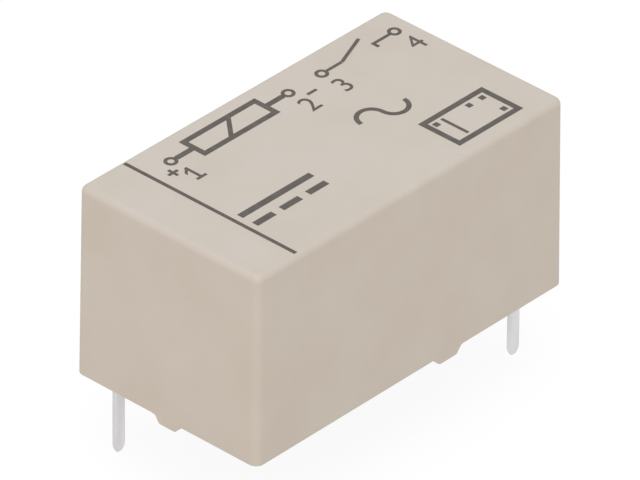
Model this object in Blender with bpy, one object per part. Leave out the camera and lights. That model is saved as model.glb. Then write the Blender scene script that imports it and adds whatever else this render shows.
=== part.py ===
"""Sealed miniature power relay for a printed circuit board.

X runs along the relay from the coil end to the contact end, Y across it, Z up.
The origin is the bottom centre: the four pin tips stand at z = 0.
A moulded cover closes over a base that carries a U-shaped core with its coil,
a bar magnet, a balanced armature that rocks about Y, and a leaf contact that
the armature's card lifts against a fixed contact.
"""

import math

import bmesh
import bpy
from mathutils import Matrix, Vector

# Clearances
SEAT = 0.00002
RUNNING_GAP = 0.00003
CORE_GAP = 0.0001

# Pins: flat blades, three in the row at +Y and one in the row at -Y
PIN_PITCH_LENGTH = 0.01778
CONTACT_PIN_STEP = 0.00508
PIN_PITCH_WIDTH = 0.00762
PIN_WIDTH = 0.0006
PIN_THICKNESS = 0.0003
PIN_EDGE = 0.00005
PIN_LENGTH = 0.0036
PIN_TIP_LENGTH = 0.00042
PIN_TIP_SHARE = 0.45

# Space between the cover's wall and the pins
COIL_END_SPACE = 0.00022
CONTACT_END_SPACE = 0.0006
SIDE_SPACE = 0.00104

# Cover
COVER_HEIGHT = 0.0099
COVER_WALL = 0.0005
ROOF_THICKNESS = 0.0006
DRAFT = math.radians(0.55)
COVER_CORNER = 0.00043
COVER_TOP_EDGE = 0.00032
CAVITY_CORNER = 0.0002
FOOT_HEIGHT = 0.0004
FOOT_ROOT_WIDTH = 0.0016
FOOT_TIP_WIDTH = 0.001
FOOT_CORNER = 0.00016
FOOT_FLARE = 0.0001
FOOT_INSET = 0.00001
SIDE_FOOT_X = 0.00242

# Sealing and base
RESIN_RECESS = 0.0001
RESIN_THICKNESS = 0.0003
COLLAR_HEIGHT = 0.00012
COLLAR_SPREAD = 0.0002
BASE_THICKNESS = 0.0008
BOSS_HEIGHT = 0.0014
BOSS_WALL = 0.00016
BARRIER_THICKNESS = 0.0004
WINDOW_SIDE_GAP = 0.0002
WINDOW_TOP_GAP = 0.00025

# Core and magnet
CORE_THICKNESS = 0.0011
CORE_WIDTH = 0.0032
CORE_BEND = 0.0002
MAGNET_THICKNESS = 0.0011
MAGNET_WIDTH = 0.0028
MAGNET_CHAMFER = 0.00012
MAGNET_GAP = 0.00004

# Coil
PIN_COIL_GAP = 0.00023
FLANGE_THICKNESS = 0.0006
FLANGE_LEG = 0.0013
FLANGE_CORNER = 0.0005
FLANGE_MARGIN = 0.0003
TUBE_WALL = 0.00035
WINDING_CORNER = 0.0012
TAPE_THICKNESS = 0.00006
TAPE_MARGIN = 0.0003
WIRE_RADIUS = 0.00005
NOTCH_DEPTH = 0.0006
NOTCH_HEIGHT = 0.0004
POST_WIDTH = 0.0004
JOINT_WALL = 0.00018
JOINT_HEIGHT = 0.00084

# Armature, its carrier and its card
ARMATURE_THICKNESS = 0.0008
ARMATURE_WIDTH = 0.0034
ARMATURE_CORNER = 0.0003
ARMATURE_CLEARANCE = 0.00028
TONGUE_WIDTH = 0.0014
CARRIER_WALL = 0.00035
CARRIER_LENGTH = 0.0028
TRUNNION_RADIUS = 0.00035
TRUNNION_LENGTH = 0.0007
POST_LENGTH = 0.0015
POST_THICKNESS = 0.0006
POST_RISE = 0.0005
SHIM_THICKNESS = 0.00005
CARD_WALL = 0.00028
CARD_HEIGHT = 0.003
CARD_LENGTH = 0.001
CARD_CREST = 0.0003
CARD_SHOULDER = 0.0003
CARD_SLOPE = 0.0009

# Contacts
CONTACT_GAP = 0.00055
CONTACT_RADIUS = 0.00075
CONTACT_RIM = 0.0002
DOME_RADIUS = 0.0026
SHANK_RADIUS = 0.00025
HEAD_RADIUS = 0.0004
RIVET_HEAD = 0.00014
RIVET_SHARE = 0.42
LEAF_THICKNESS = 0.0001
LEAF_WIDTH = 0.0022
LEAF_ROOT_WIDTH = 0.0016
LEAF_SLOT_WIDTH = 0.0004
LEAF_END_MARGIN = 0.0001
LEAF_END_CORNER = 0.0008
SHEET_BEND = 0.0002
TERMINAL_WIDTH = 0.0022
SHOULDER = 0.0003
SPRING_OFFSET = 0.0006
CLAMP_REACH = 0.00145
CONTACT_REACH = 0.00116

# Facets of round shapes
CORNER_STEPS = 4
FACET_LENGTH = 0.0003
CORNER_REACH = 0.45
SMOOTH_ANGLE = math.radians(35)
BEND_STEPS = 6
ROUND_STEPS = 24

# Outline
LENGTH = 2 * COVER_WALL + COIL_END_SPACE + CONTACT_END_SPACE + PIN_WIDTH + PIN_PITCH_LENGTH
WIDTH = 2 * COVER_WALL + 2 * SIDE_SPACE + PIN_THICKNESS + PIN_PITCH_WIDTH
COIL_PIN_X = -LENGTH / 2 + COVER_WALL + COIL_END_SPACE + PIN_WIDTH / 2
CONTACT_PIN_X = COIL_PIN_X + PIN_PITCH_LENGTH
SECOND_COIL_PIN_X = CONTACT_PIN_X - CONTACT_PIN_STEP
PIN_Y = PIN_PITCH_WIDTH / 2

# Levels, from the pin tips up
BOARD_Z = PIN_LENGTH
RIM_Z = BOARD_Z + FOOT_HEIGHT
TOP_Z = RIM_Z + COVER_HEIGHT
ROOF_Z = TOP_Z - ROOF_THICKNESS
RESIN_Z = RIM_Z + RESIN_RECESS
BASE_Z = RESIN_Z + RESIN_THICKNESS + SEAT
FLOOR_Z = BASE_Z + BASE_THICKNESS
PIVOT_Z = FLOOR_Z + ARMATURE_CLEARANCE + CARRIER_WALL + SEAT + ARMATURE_THICKNESS / 2


def narrowing(z):
    """How much the draft has moved each wall inwards at this height."""
    return math.tan(DRAFT) * (z - RIM_Z)


# Room inside the cover, at the roof where it is tightest
INSIDE_X = LENGTH / 2 - COVER_WALL
INSIDE_Y = WIDTH / 2 - COVER_WALL
ROOM_X = INSIDE_X - narrowing(ROOF_Z)
ROOM_Y = INSIDE_Y - narrowing(ROOF_Z)

# Places along the relay: the coil ends just before its second pin
FLANGE_OUT = CORE_THICKNESS + CORE_BEND + SEAT
CORE_LEFT = -ROOM_X + CORE_GAP
COIL_LEFT = CORE_LEFT + FLANGE_OUT
COIL_RIGHT = SECOND_COIL_PIN_X - PIN_WIDTH / 2 - PIN_COIL_GAP
CORE_RIGHT = COIL_RIGHT + FLANGE_OUT
BARRIER_X = CORE_RIGHT + CORE_GAP + BARRIER_THICKNESS
PIVOT_X = (CORE_LEFT + CORE_RIGHT) / 2
POLE_ARM = (CORE_RIGHT - CORE_LEFT - CORE_THICKNESS) / 2
ARMATURE_REACH = POLE_ARM + CORE_THICKNESS / 2
WINDING_LEFT = COIL_LEFT + FLANGE_THICKNESS + SEAT
WINDING_RIGHT = COIL_RIGHT - FLANGE_THICKNESS - SEAT

# Contact room: the leaf lies across the relay over the two contact pins
SPRING_X = CONTACT_PIN_X - SPRING_OFFSET
CLAMP_Y = PIN_Y - CLAMP_REACH
CONTACT_Y = -PIN_Y + CONTACT_REACH
LEAF_ARM = CLAMP_Y - CONTACT_Y
CARD_ARM = SPRING_X - PIVOT_X
LEAF_STROKE = math.asin(CONTACT_GAP / LEAF_ARM)
ARMATURE_STROKE = LEAF_STROKE * CLAMP_Y / CARD_ARM
REST_TILT = ARMATURE_STROKE / 2

# Heights of the magnetic circuit above the rocking armature
RIDGE_RADIUS = ARMATURE_THICKNESS / 2 + MAGNET_GAP + ARMATURE_REACH * math.sin(REST_TILT)
MAGNET_Z = PIVOT_Z + RIDGE_RADIUS + SEAT
MAGNET_TOP = MAGNET_Z + MAGNET_THICKNESS
POLE_Z = (
    PIVOT_Z
    + ARMATURE_THICKNESS / 2
    + ARMATURE_REACH * math.sin(REST_TILT)
    + SHIM_THICKNESS
    + 2 * SEAT
)
FLANGE_HALF = ROOM_Y - CORE_GAP
FLANGE_BOTTOM = MAGNET_TOP + SEAT
FLANGE_TOP = ROOF_Z - CORE_GAP
COIL_Z = (FLANGE_BOTTOM + FLANGE_TOP) / 2
WINDING_HALF_Y = FLANGE_HALF - FLANGE_MARGIN
WINDING_HALF_Z = (FLANGE_TOP - FLANGE_BOTTOM) / 2 - FLANGE_MARGIN / 2
TUBE_HALF_Y = CORE_WIDTH / 2 + SEAT + TUBE_WALL
TUBE_HALF_Z = CORE_THICKNESS / 2 + SEAT + TUBE_WALL

# The leaf rests on the card, and the fixed contact waits one gap above it
SPRING_Z = PIVOT_Z + CARD_HEIGHT * math.cos(REST_TILT) - CARD_ARM * math.sin(REST_TILT) + 2 * SEAT
LEAF_TOP = SPRING_Z + LEAF_THICKNESS
HINGE_Z = SPRING_Z + LEAF_THICKNESS / 2
DOME_EDGE_Z = LEAF_TOP + SEAT + CONTACT_RIM
DOME_CENTRE_Z = DOME_EDGE_Z - math.sqrt(DOME_RADIUS**2 - CONTACT_RADIUS**2)
CLOSED_TOP = (
    HINGE_Z
    + LEAF_ARM * math.sin(LEAF_STROKE)
    + (DOME_CENTRE_Z - HINGE_Z) * math.cos(LEAF_STROKE)
    + DOME_RADIUS
)
FIXED_Z = CLOSED_TOP + SEAT
FIXED_TAB_Z = FIXED_Z + CONTACT_RIM + SEAT
SPRING_TAB_TOP = SPRING_Z - SEAT
RIVET_Y = CLAMP_Y + (PIN_Y - CLAMP_Y) * RIVET_SHARE


# Shapes


def rounded(corners):
    """Outline through (u, v, radius) corners, each turned by an arc."""
    outline = []
    for index, (u, v, radius) in enumerate(corners):
        here = Vector((u, v))
        if radius == 0:
            outline.append(here)
            continue
        back = Vector(corners[index - 1][:2]) - here
        ahead = Vector(corners[(index + 1) % len(corners)][:2]) - here
        half_angle = back.angle(ahead) / 2
        shorter = min(back.length, ahead.length)
        reach = min(radius / math.tan(half_angle), CORNER_REACH * shorter)
        arc_radius = reach * math.tan(half_angle)
        inward = (back.normalized() + ahead.normalized()).normalized()
        centre = here + inward * (arc_radius / math.sin(half_angle))
        first = here + back.normalized() * reach - centre
        last = here + ahead.normalized() * reach - centre
        turn = math.pi - 2 * half_angle
        steps = max(CORNER_STEPS, round(turn * arc_radius / FACET_LENGTH))
        for step in range(steps + 1):
            share = step / steps
            blend = first * math.sin((1 - share) * turn) + last * math.sin(share * turn)
            outline.append(centre + blend / math.sin(turn))
    return outline


def arc(centre, radius, start, end, steps):
    """Points from one angle to another round a centre, both ends included."""
    points = []
    for step in range(steps + 1):
        angle = start + (end - start) * step / steps
        points.append(Vector(centre) + radius * Vector((math.cos(angle), math.sin(angle))))
    return points


def rectangle(low_u, high_u, low_v, high_v, radius=0):
    return rounded(
        [(low_u, low_v, radius), (high_u, low_v, radius), (high_u, high_v, radius), (low_u, high_v, radius)]
    )


def add_object(name, shape, material):
    """Turn a finished bmesh into a named object of the scene."""
    bmesh.ops.recalc_face_normals(shape, faces=shape.faces)
    mesh = bpy.data.meshes.new(name)
    shape.to_mesh(mesh)
    shape.free()
    mesh.shade_smooth()
    mesh.set_sharp_from_angle(angle=SMOOTH_ANGLE)
    made = bpy.data.objects.new(name, mesh)
    made.data.materials.append(material)
    bpy.context.scene.collection.objects.link(made)
    return made


def extruded(name, outline, axis, start, end, material):
    """Extrude a flat outline along X (drawn in YZ), Y (in XZ) or Z (in XY)."""
    place = {
        "x": lambda u, v: (start, u, v),
        "y": lambda u, v: (u, start, v),
        "z": lambda u, v: (u, v, start),
    }[axis]
    travel = {"x": (1, 0, 0), "y": (0, 1, 0), "z": (0, 0, 1)}[axis]
    shape = bmesh.new()
    face = shape.faces.new([shape.verts.new(place(u, v)) for u, v in outline])
    grown = bmesh.ops.extrude_face_region(shape, geom=[face])
    moved = [item for item in grown["geom"] if isinstance(item, bmesh.types.BMVert)]
    bmesh.ops.translate(shape, verts=moved, vec=Vector(travel) * (end - start))
    return add_object(name, shape, material)


def lofted(name, rings, material):
    """Skin a row of rings with equal counts and cap both ends."""
    shape = bmesh.new()
    rows = [[shape.verts.new(point) for point in ring] for ring in rings]
    for lower, upper in zip(rows, rows[1:]):
        for index in range(len(lower)):
            after = (index + 1) % len(lower)
            shape.faces.new((lower[index], lower[after], upper[after], upper[index]))
    shape.faces.new(rows[0])
    shape.faces.new(rows[-1])
    return add_object(name, shape, material)


def turned(name, profile, centre, material):
    """Revolve (radius, z) points, from axis to axis, about an upright line."""
    shape = bmesh.new()
    verts = [shape.verts.new((centre[0] + radius, centre[1], z)) for radius, z in profile]
    edges = [shape.edges.new(pair) for pair in zip(verts, verts[1:])]
    bmesh.ops.spin(
        shape,
        geom=verts + edges,
        cent=(centre[0], centre[1], 0),
        axis=(0, 0, 1),
        angle=2 * math.pi,
        steps=ROUND_STEPS,
        use_merge=True,
    )
    bmesh.ops.remove_doubles(shape, verts=shape.verts, dist=1e-7)
    return add_object(name, shape, material)


def drafted_block(name, half_x, half_y, low_z, high_z, corner, top_edge, material):
    """Block whose walls lean in with the draft, with rounded upright and top edges."""
    shape = bmesh.new()
    bmesh.ops.create_cube(shape, size=2)
    for vert in shape.verts:
        z = high_z if vert.co.z > 0 else low_z
        vert.co.x *= half_x - narrowing(z)
        vert.co.y *= half_y - narrowing(z)
        vert.co.z = z
    middle = (low_z + high_z) / 2
    upright = [
        edge for edge in shape.edges if (edge.verts[0].co.z > middle) != (edge.verts[1].co.z > middle)
    ]
    bmesh.ops.bevel(
        shape, geom=upright, offset=corner, segments=6, profile=0.5, affect="EDGES", material=-1
    )
    top = [edge for edge in shape.edges if min(vert.co.z for vert in edge.verts) > middle]
    bmesh.ops.bevel(
        shape, geom=top, offset=top_edge, segments=5, profile=0.5, affect="EDGES", material=-1
    )
    return add_object(name, shape, material)


def use_tool(target, tool, operation):
    """Cut the target with the tool, or join the tool to it."""
    modifier = target.modifiers.new(tool.name, "BOOLEAN")
    modifier.object = tool
    modifier.operation = operation
    modifier.solver = "EXACT"
    tool.hide_render = True
    tool.display_type = "WIRE"


def cut(target, *tools):
    for tool in tools:
        use_tool(target, tool, "DIFFERENCE")


def join(target, *tools):
    for tool in tools:
        use_tool(target, tool, "UNION")


def hang(moving, axis):
    """Give a piece, and the tools that shape it, the joint axis as parent and origin."""
    tools = [modifier.object for modifier in moving.modifiers]
    for item in [moving, *tools]:
        item.data.transform(Matrix.Translation(-axis.location))
        item.parent = axis


def add_axis(name, place, tilt):
    """Empty on a joint's axis, turned about Y to the rest pose."""
    axis = bpy.data.objects.new(name, None)
    axis.location = place
    axis.rotation_euler.y = tilt
    bpy.context.scene.collection.objects.link(axis)
    return axis


def add_material(name, colour, roughness, metallic=0.0):
    material = bpy.data.materials.new(name)
    material.use_nodes = True
    shader = material.node_tree.nodes["Principled BSDF"]
    shader.inputs["Base Color"].default_value = (*colour, 1.0)
    shader.inputs["Roughness"].default_value = roughness
    shader.inputs["Metallic"].default_value = metallic
    return material


# Cover, base and sealing


def foot_outline(middle):
    """Tapered foot seen square on: flared into the rim, narrow at the board."""
    root = FOOT_ROOT_WIDTH / 2
    tip = FOOT_TIP_WIDTH / 2
    lap_z = RIM_Z + COVER_WALL / 2
    return rounded(
        [
            (middle - root - FOOT_FLARE, lap_z, 0),
            (middle - root - FOOT_FLARE, RIM_Z + FOOT_FLARE / 2, 0),
            (middle - root, RIM_Z - FOOT_FLARE / 2, 0),
            (middle - tip, BOARD_Z, FOOT_CORNER),
            (middle + tip, BOARD_Z, FOOT_CORNER),
            (middle + root, RIM_Z - FOOT_FLARE / 2, 0),
            (middle + root + FOOT_FLARE, RIM_Z + FOOT_FLARE / 2, 0),
            (middle + root + FOOT_FLARE, lap_z, 0),
        ]
    )


def add_cover(material):
    cover = drafted_block(
        "cover", LENGTH / 2, WIDTH / 2, RIM_Z, TOP_Z, COVER_CORNER, COVER_TOP_EDGE, material
    )
    for side in (-1, 1):
        outer = side * (LENGTH / 2 - FOOT_INSET)
        inner = side * (LENGTH / 2 - 2 * COVER_WALL)
        join(cover, extruded(f"end_foot_{side}", foot_outline(0), "x", outer, inner, material))
        outer = side * (WIDTH / 2 - FOOT_INSET)
        inner = side * (WIDTH / 2 - 2 * COVER_WALL)
        join(cover, extruded(f"side_foot_{side}", foot_outline(SIDE_FOOT_X), "y", outer, inner, material))
    cavity = drafted_block(
        "cavity",
        INSIDE_X,
        INSIDE_Y,
        BOARD_Z - FOOT_HEIGHT,
        ROOF_Z,
        CAVITY_CORNER,
        CAVITY_CORNER,
        material,
    )
    cut(cover, cavity)
    return cover


def pin_places():
    """Centre of every blade that passes through base and resin."""
    return [
        (COIL_PIN_X, PIN_Y),
        (SECOND_COIL_PIN_X, PIN_Y),
        (CONTACT_PIN_X, PIN_Y),
        (CONTACT_PIN_X, -PIN_Y),
    ]


def pin_slot(name, place, low_z, high_z, material):
    x, y = place
    half_x = PIN_WIDTH / 2 + SEAT
    half_y = PIN_THICKNESS / 2 + SEAT
    return extruded(
        name, rectangle(x - half_x, x + half_x, y - half_y, y + half_y), "z", low_z, high_z, material
    )


def fitted_outline(z):
    """Outline that fills the cover's inside at this height, one seat smaller."""
    half_x = INSIDE_X - narrowing(z) - SEAT
    half_y = INSIDE_Y - narrowing(z) - SEAT
    return rectangle(-half_x, half_x, -half_y, half_y, CAVITY_CORNER)


def add_resin(material):
    """Potting layer with a small collar drawn down round each pin."""
    top = RESIN_Z + RESIN_THICKNESS
    resin = extruded("sealing_resin", fitted_outline(top), "z", RESIN_Z, top, material)
    middle = RESIN_Z + RESIN_THICKNESS / 2
    for number, (x, y) in enumerate(pin_places()):
        rings = []
        for z, grow in (
            (RESIN_Z - COLLAR_HEIGHT, COLLAR_SPREAD / 4),
            (RESIN_Z - COLLAR_HEIGHT / 3, COLLAR_SPREAD / 2),
            (RESIN_Z, COLLAR_SPREAD),
            (middle, COLLAR_SPREAD),
        ):
            half_x = PIN_WIDTH / 2 + SEAT + grow
            half_y = PIN_THICKNESS / 2 + SEAT + grow
            ring = rectangle(x - half_x, x + half_x, y - half_y, y + half_y, PIN_THICKNESS / 2)
            rings.append([(u, v, z) for u, v in ring])
        join(resin, lofted(f"resin_collar_{number}", rings, material))
    for number, place in enumerate(pin_places()):
        cut(resin, pin_slot(f"resin_slot_{number}", place, BOARD_Z, BASE_Z, material))
    return resin


def add_pivot_post(base, side, material):
    """Post with an open notch that the armature's trunnion rocks in."""
    notch = TRUNNION_RADIUS + RUNNING_GAP
    half = POST_LENGTH / 2
    top = PIVOT_Z + POST_RISE
    outline = [
        Vector((PIVOT_X - half, FLOOR_Z - BASE_THICKNESS / 2)),
        Vector((PIVOT_X + half, FLOOR_Z - BASE_THICKNESS / 2)),
        Vector((PIVOT_X + half, top)),
        Vector((PIVOT_X + notch, top)),
    ]
    outline += arc((PIVOT_X, PIVOT_Z), notch, 0, -math.pi, 2 * BEND_STEPS)
    outline += [Vector((PIVOT_X - notch, top)), Vector((PIVOT_X - half, top))]
    inner = carrier_half() + CORE_GAP
    join(
        base,
        extruded(
            f"pivot_post_{side}", outline, "y", side * inner, side * (inner + POST_THICKNESS), material
        ),
    )


def barrier_outline():
    """Insulating wall with a window at its foot for the armature's tongue."""
    half = ROOM_Y - CORE_GAP / 2
    top = ROOF_Z - CORE_GAP
    window = TONGUE_WIDTH / 2 + WINDOW_SIDE_GAP
    lintel = PIVOT_Z + ARMATURE_THICKNESS / 2 + WINDOW_TOP_GAP
    bottom = FLOOR_Z - BASE_THICKNESS / 2
    return rounded(
        [
            (-half, bottom, 0),
            (-window, bottom, 0),
            (-window, lintel, window / 3),
            (window, lintel, window / 3),
            (window, bottom, 0),
            (half, bottom, 0),
            (half, top, CAVITY_CORNER * 2),
            (-half, top, CAVITY_CORNER * 2),
        ]
    )


def add_base(material):
    base = extruded("base", fitted_outline(FLOOR_Z), "z", BASE_Z, FLOOR_Z, material)
    for side in (-1, 1):
        add_pivot_post(base, side, material)
    half_x = PIN_WIDTH / 2 + BOSS_WALL
    half_y = PIN_THICKNESS / 2 + SEAT + 2 * BOSS_WALL
    low_z = BASE_Z + BASE_THICKNESS / 2
    for number, x in enumerate((COIL_PIN_X, SECOND_COIL_PIN_X)):
        boss = rectangle(x - half_x, x + half_x, PIN_Y - half_y, PIN_Y + half_y, BOSS_WALL)
        join(base, extruded(f"coil_boss_{number}", boss, "z", low_z, FLOOR_Z + BOSS_HEIGHT, material))
    join(
        base,
        extruded("barrier", barrier_outline(), "x", BARRIER_X - BARRIER_THICKNESS, BARRIER_X, material),
    )
    for number, place in enumerate(pin_places()):
        cut(base, pin_slot(f"base_slot_{number}", place, RIM_Z, FLOOR_Z + 2 * BOSS_HEIGHT, material))
    return base


# Magnetic circuit and coil


def add_core(material):
    """Strip bent into a U: the bar runs through the coil, the legs reach down to the poles."""
    top = COIL_Z + CORE_THICKNESS / 2
    under = COIL_Z - CORE_THICKNESS / 2
    outer = CORE_THICKNESS + CORE_BEND
    outline = rounded(
        [
            (CORE_LEFT, POLE_Z, 0),
            (CORE_LEFT + CORE_THICKNESS, POLE_Z, 0),
            (CORE_LEFT + CORE_THICKNESS, under, CORE_BEND),
            (CORE_RIGHT - CORE_THICKNESS, under, CORE_BEND),
            (CORE_RIGHT - CORE_THICKNESS, POLE_Z, 0),
            (CORE_RIGHT, POLE_Z, 0),
            (CORE_RIGHT, top, outer),
            (CORE_LEFT, top, outer),
        ]
    )
    return extruded("iron_core", outline, "y", -CORE_WIDTH / 2, CORE_WIDTH / 2, material)


def add_magnet(material):
    """Bar magnet with chamfered edges, held between the core's two legs."""
    half = MAGNET_WIDTH / 2
    rings = []
    ends = (CORE_LEFT + CORE_THICKNESS + SEAT, CORE_RIGHT - CORE_THICKNESS - SEAT)
    for x, inset in (
        (ends[0], MAGNET_CHAMFER),
        (ends[0] + MAGNET_CHAMFER, 0),
        (ends[1] - MAGNET_CHAMFER, 0),
        (ends[1], MAGNET_CHAMFER),
    ):
        low_z = MAGNET_Z + inset
        high_z = MAGNET_TOP - inset
        side = half - inset
        rings.append([(x, -side, low_z), (x, side, low_z), (x, side, high_z), (x, -side, high_z)])
    return lofted("permanent_magnet", rings, material)


def flange_outline():
    """End plate of the coil former: notched for the wire, on legs that straddle the armature."""
    inner = FLANGE_HALF - FLANGE_LEG
    foot_z = FLOOR_Z + SEAT
    foot_corner = FLANGE_CORNER / 5
    half_notch = NOTCH_HEIGHT / 2
    right = [
        (inner, FLANGE_BOTTOM, FLANGE_CORNER / 2),
        (inner, foot_z, foot_corner),
        (FLANGE_HALF, foot_z, foot_corner),
        (FLANGE_HALF, COIL_Z - half_notch, foot_corner),
        (FLANGE_HALF - NOTCH_DEPTH, COIL_Z - half_notch, foot_corner),
        (FLANGE_HALF - NOTCH_DEPTH, COIL_Z + half_notch, foot_corner),
        (FLANGE_HALF, COIL_Z + half_notch, foot_corner),
        (FLANGE_HALF, FLANGE_TOP, FLANGE_CORNER),
    ]
    left = [(-y, z, radius) for y, z, radius in reversed(right)]
    return rounded(right + left)


def add_bobbin(material):
    outline = flange_outline()
    bobbin = extruded("bobbin", outline, "x", COIL_LEFT, COIL_LEFT + FLANGE_THICKNESS, material)
    flange = extruded("second_flange", outline, "x", COIL_RIGHT - FLANGE_THICKNESS, COIL_RIGHT, material)
    tube_outline = rectangle(
        -TUBE_HALF_Y, TUBE_HALF_Y, COIL_Z - TUBE_HALF_Z, COIL_Z + TUBE_HALF_Z, TUBE_WALL
    )
    lap = FLANGE_THICKNESS / 2
    tube = extruded("tube", tube_outline, "x", COIL_LEFT + lap, COIL_RIGHT - lap, material)
    half_y = CORE_WIDTH / 2 + SEAT
    half_z = CORE_THICKNESS / 2 + SEAT
    bore_outline = rectangle(-half_y, half_y, COIL_Z - half_z, COIL_Z + half_z)
    bore = extruded("bobbin_bore", bore_outline, "x", CORE_LEFT, CORE_RIGHT, material)
    join(bobbin, tube, flange)
    cut(bobbin, bore)
    return bobbin


def coil_ring(name, half_y, half_z, corner, hole_y, hole_z, hole_corner, low_x, high_x, material):
    """Rounded rectangular ring along the coil."""
    outline = rectangle(-half_y, half_y, COIL_Z - half_z, COIL_Z + half_z, corner)
    ring = extruded(name, outline, "x", low_x, high_x, material)
    hole_outline = rectangle(-hole_y, hole_y, COIL_Z - hole_z, COIL_Z + hole_z, hole_corner)
    cut(ring, extruded(f"{name}_hole", hole_outline, "x", COIL_LEFT, COIL_RIGHT, material))
    return ring


def add_winding(material):
    return coil_ring(
        "coil_winding",
        WINDING_HALF_Y - TAPE_THICKNESS - SEAT,
        WINDING_HALF_Z - TAPE_THICKNESS - SEAT,
        WINDING_CORNER,
        TUBE_HALF_Y + SEAT,
        TUBE_HALF_Z + SEAT,
        TUBE_WALL,
        WINDING_LEFT,
        WINDING_RIGHT,
        material,
    )


def add_tape(material):
    return coil_ring(
        "coil_tape",
        WINDING_HALF_Y,
        WINDING_HALF_Z,
        WINDING_CORNER + TAPE_THICKNESS,
        WINDING_HALF_Y - TAPE_THICKNESS,
        WINDING_HALF_Z - TAPE_THICKNESS,
        WINDING_CORNER,
        WINDING_LEFT + TAPE_MARGIN,
        WINDING_RIGHT - TAPE_MARGIN,
        material,
    )


def joint_half_y():
    return PIN_THICKNESS / 2 + SEAT + JOINT_WALL


def add_lead(name, start_x, flange_x, pin_x, material):
    """Wire end: along the winding's side, out through the flange's notch and on to its post."""
    outward = math.copysign(1, flange_x - start_x)
    wire_y = WINDING_HALF_Y - TAPE_THICKNESS + WIRE_RADIUS
    joint_y = PIN_Y + joint_half_y() + SEAT
    path = (
        (start_x, wire_y),
        (flange_x + outward * FLANGE_THICKNESS / 3, wire_y),
        (pin_x - outward * PIN_WIDTH / 4, (wire_y + joint_y) / 2 + WIRE_RADIUS),
        (pin_x, joint_y),
    )
    curve = bpy.data.curves.new(name, "CURVE")
    curve.dimensions = "3D"
    curve.bevel_depth = WIRE_RADIUS
    curve.bevel_resolution = 1
    curve.use_fill_caps = True
    curve.resolution_u = 6
    spline = curve.splines.new("BEZIER")
    spline.bezier_points.add(len(path) - 1)
    for point, (x, y) in zip(spline.bezier_points, path):
        point.co = (x, y, COIL_Z)
        point.handle_left_type = "AUTO"
        point.handle_right_type = "AUTO"
    curve.materials.append(material)
    lead = bpy.data.objects.new(name, curve)
    bpy.context.scene.collection.objects.link(lead)
    return lead


def add_joint(name, pin_x, material):
    """Solder bead with a blind pocket that caps the coil terminal's post."""
    bead = bmesh.new()
    bmesh.ops.create_uvsphere(bead, u_segments=20, v_segments=12, radius=1)
    half_x = POST_WIDTH / 2 + SEAT + JOINT_WALL
    size = Matrix.Diagonal((half_x, joint_half_y(), JOINT_HEIGHT / 2, 1))
    place = Matrix.Translation((pin_x, PIN_Y, COIL_Z))
    bead.transform(place @ size)
    joint = add_object(name, bead, material)
    half_x = POST_WIDTH / 2 + SEAT
    half_y = PIN_THICKNESS / 2 + SEAT
    pocket_outline = rectangle(pin_x - half_x, pin_x + half_x, PIN_Y - half_y, PIN_Y + half_y)
    pocket = extruded(
        f"{name}_pocket", pocket_outline, "z", COIL_Z - JOINT_HEIGHT, post_top() + SEAT, material
    )
    cut(joint, pocket)
    return joint


def post_top():
    return COIL_Z + JOINT_HEIGHT / 8


# Terminals


def blade_ring(centre, across, through, edge):
    """Eight corners of a flat strip's section, its long edges lightly chamfered."""
    centre = Vector(centre)
    across = Vector(across)
    through = Vector(through)
    chamfer_across = across.normalized() * min(edge, across.length / 2)
    chamfer_through = through.normalized() * min(edge, through.length / 2)
    ring = []
    for along, up in ((-1, -1), (1, -1), (1, 1), (-1, 1)):
        corner = centre + across * along + through * up
        side_point = corner - chamfer_through * up
        face_point = corner - chamfer_across * along
        ring += [side_point, face_point] if along * up > 0 else [face_point, side_point]
    return ring


def pin_rings(x, side):
    """Rounded blade tip and the blade's start, from the bottom up."""
    rings = []
    for share in (0.0, 0.25, 0.55, 1.0):
        fullness = PIN_TIP_SHARE + (1 - PIN_TIP_SHARE) * math.sin(share * math.pi / 2)
        rings.append(
            blade_ring(
                (x, side * PIN_Y, share * PIN_TIP_LENGTH),
                (fullness * PIN_WIDTH / 2, 0, 0),
                (0, side * fullness * PIN_THICKNESS / 2, 0),
                PIN_EDGE * fullness,
            )
        )
    return rings


def add_coil_terminal(name, pin_x, material):
    """Straight blade whose narrower post carries the coil's wire."""
    rings = pin_rings(pin_x, 1)
    neck = FLOOR_Z + BOSS_HEIGHT + SEAT
    through = (0, PIN_THICKNESS / 2, 0)
    for z, width in (
        (neck, PIN_WIDTH),
        (neck + (PIN_WIDTH - POST_WIDTH) / 2, POST_WIDTH),
        (post_top(), POST_WIDTH),
    ):
        rings.append(blade_ring((pin_x, PIN_Y, z), (width / 2, 0, 0), through, PIN_EDGE))
    return lofted(name, rings, material)


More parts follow.
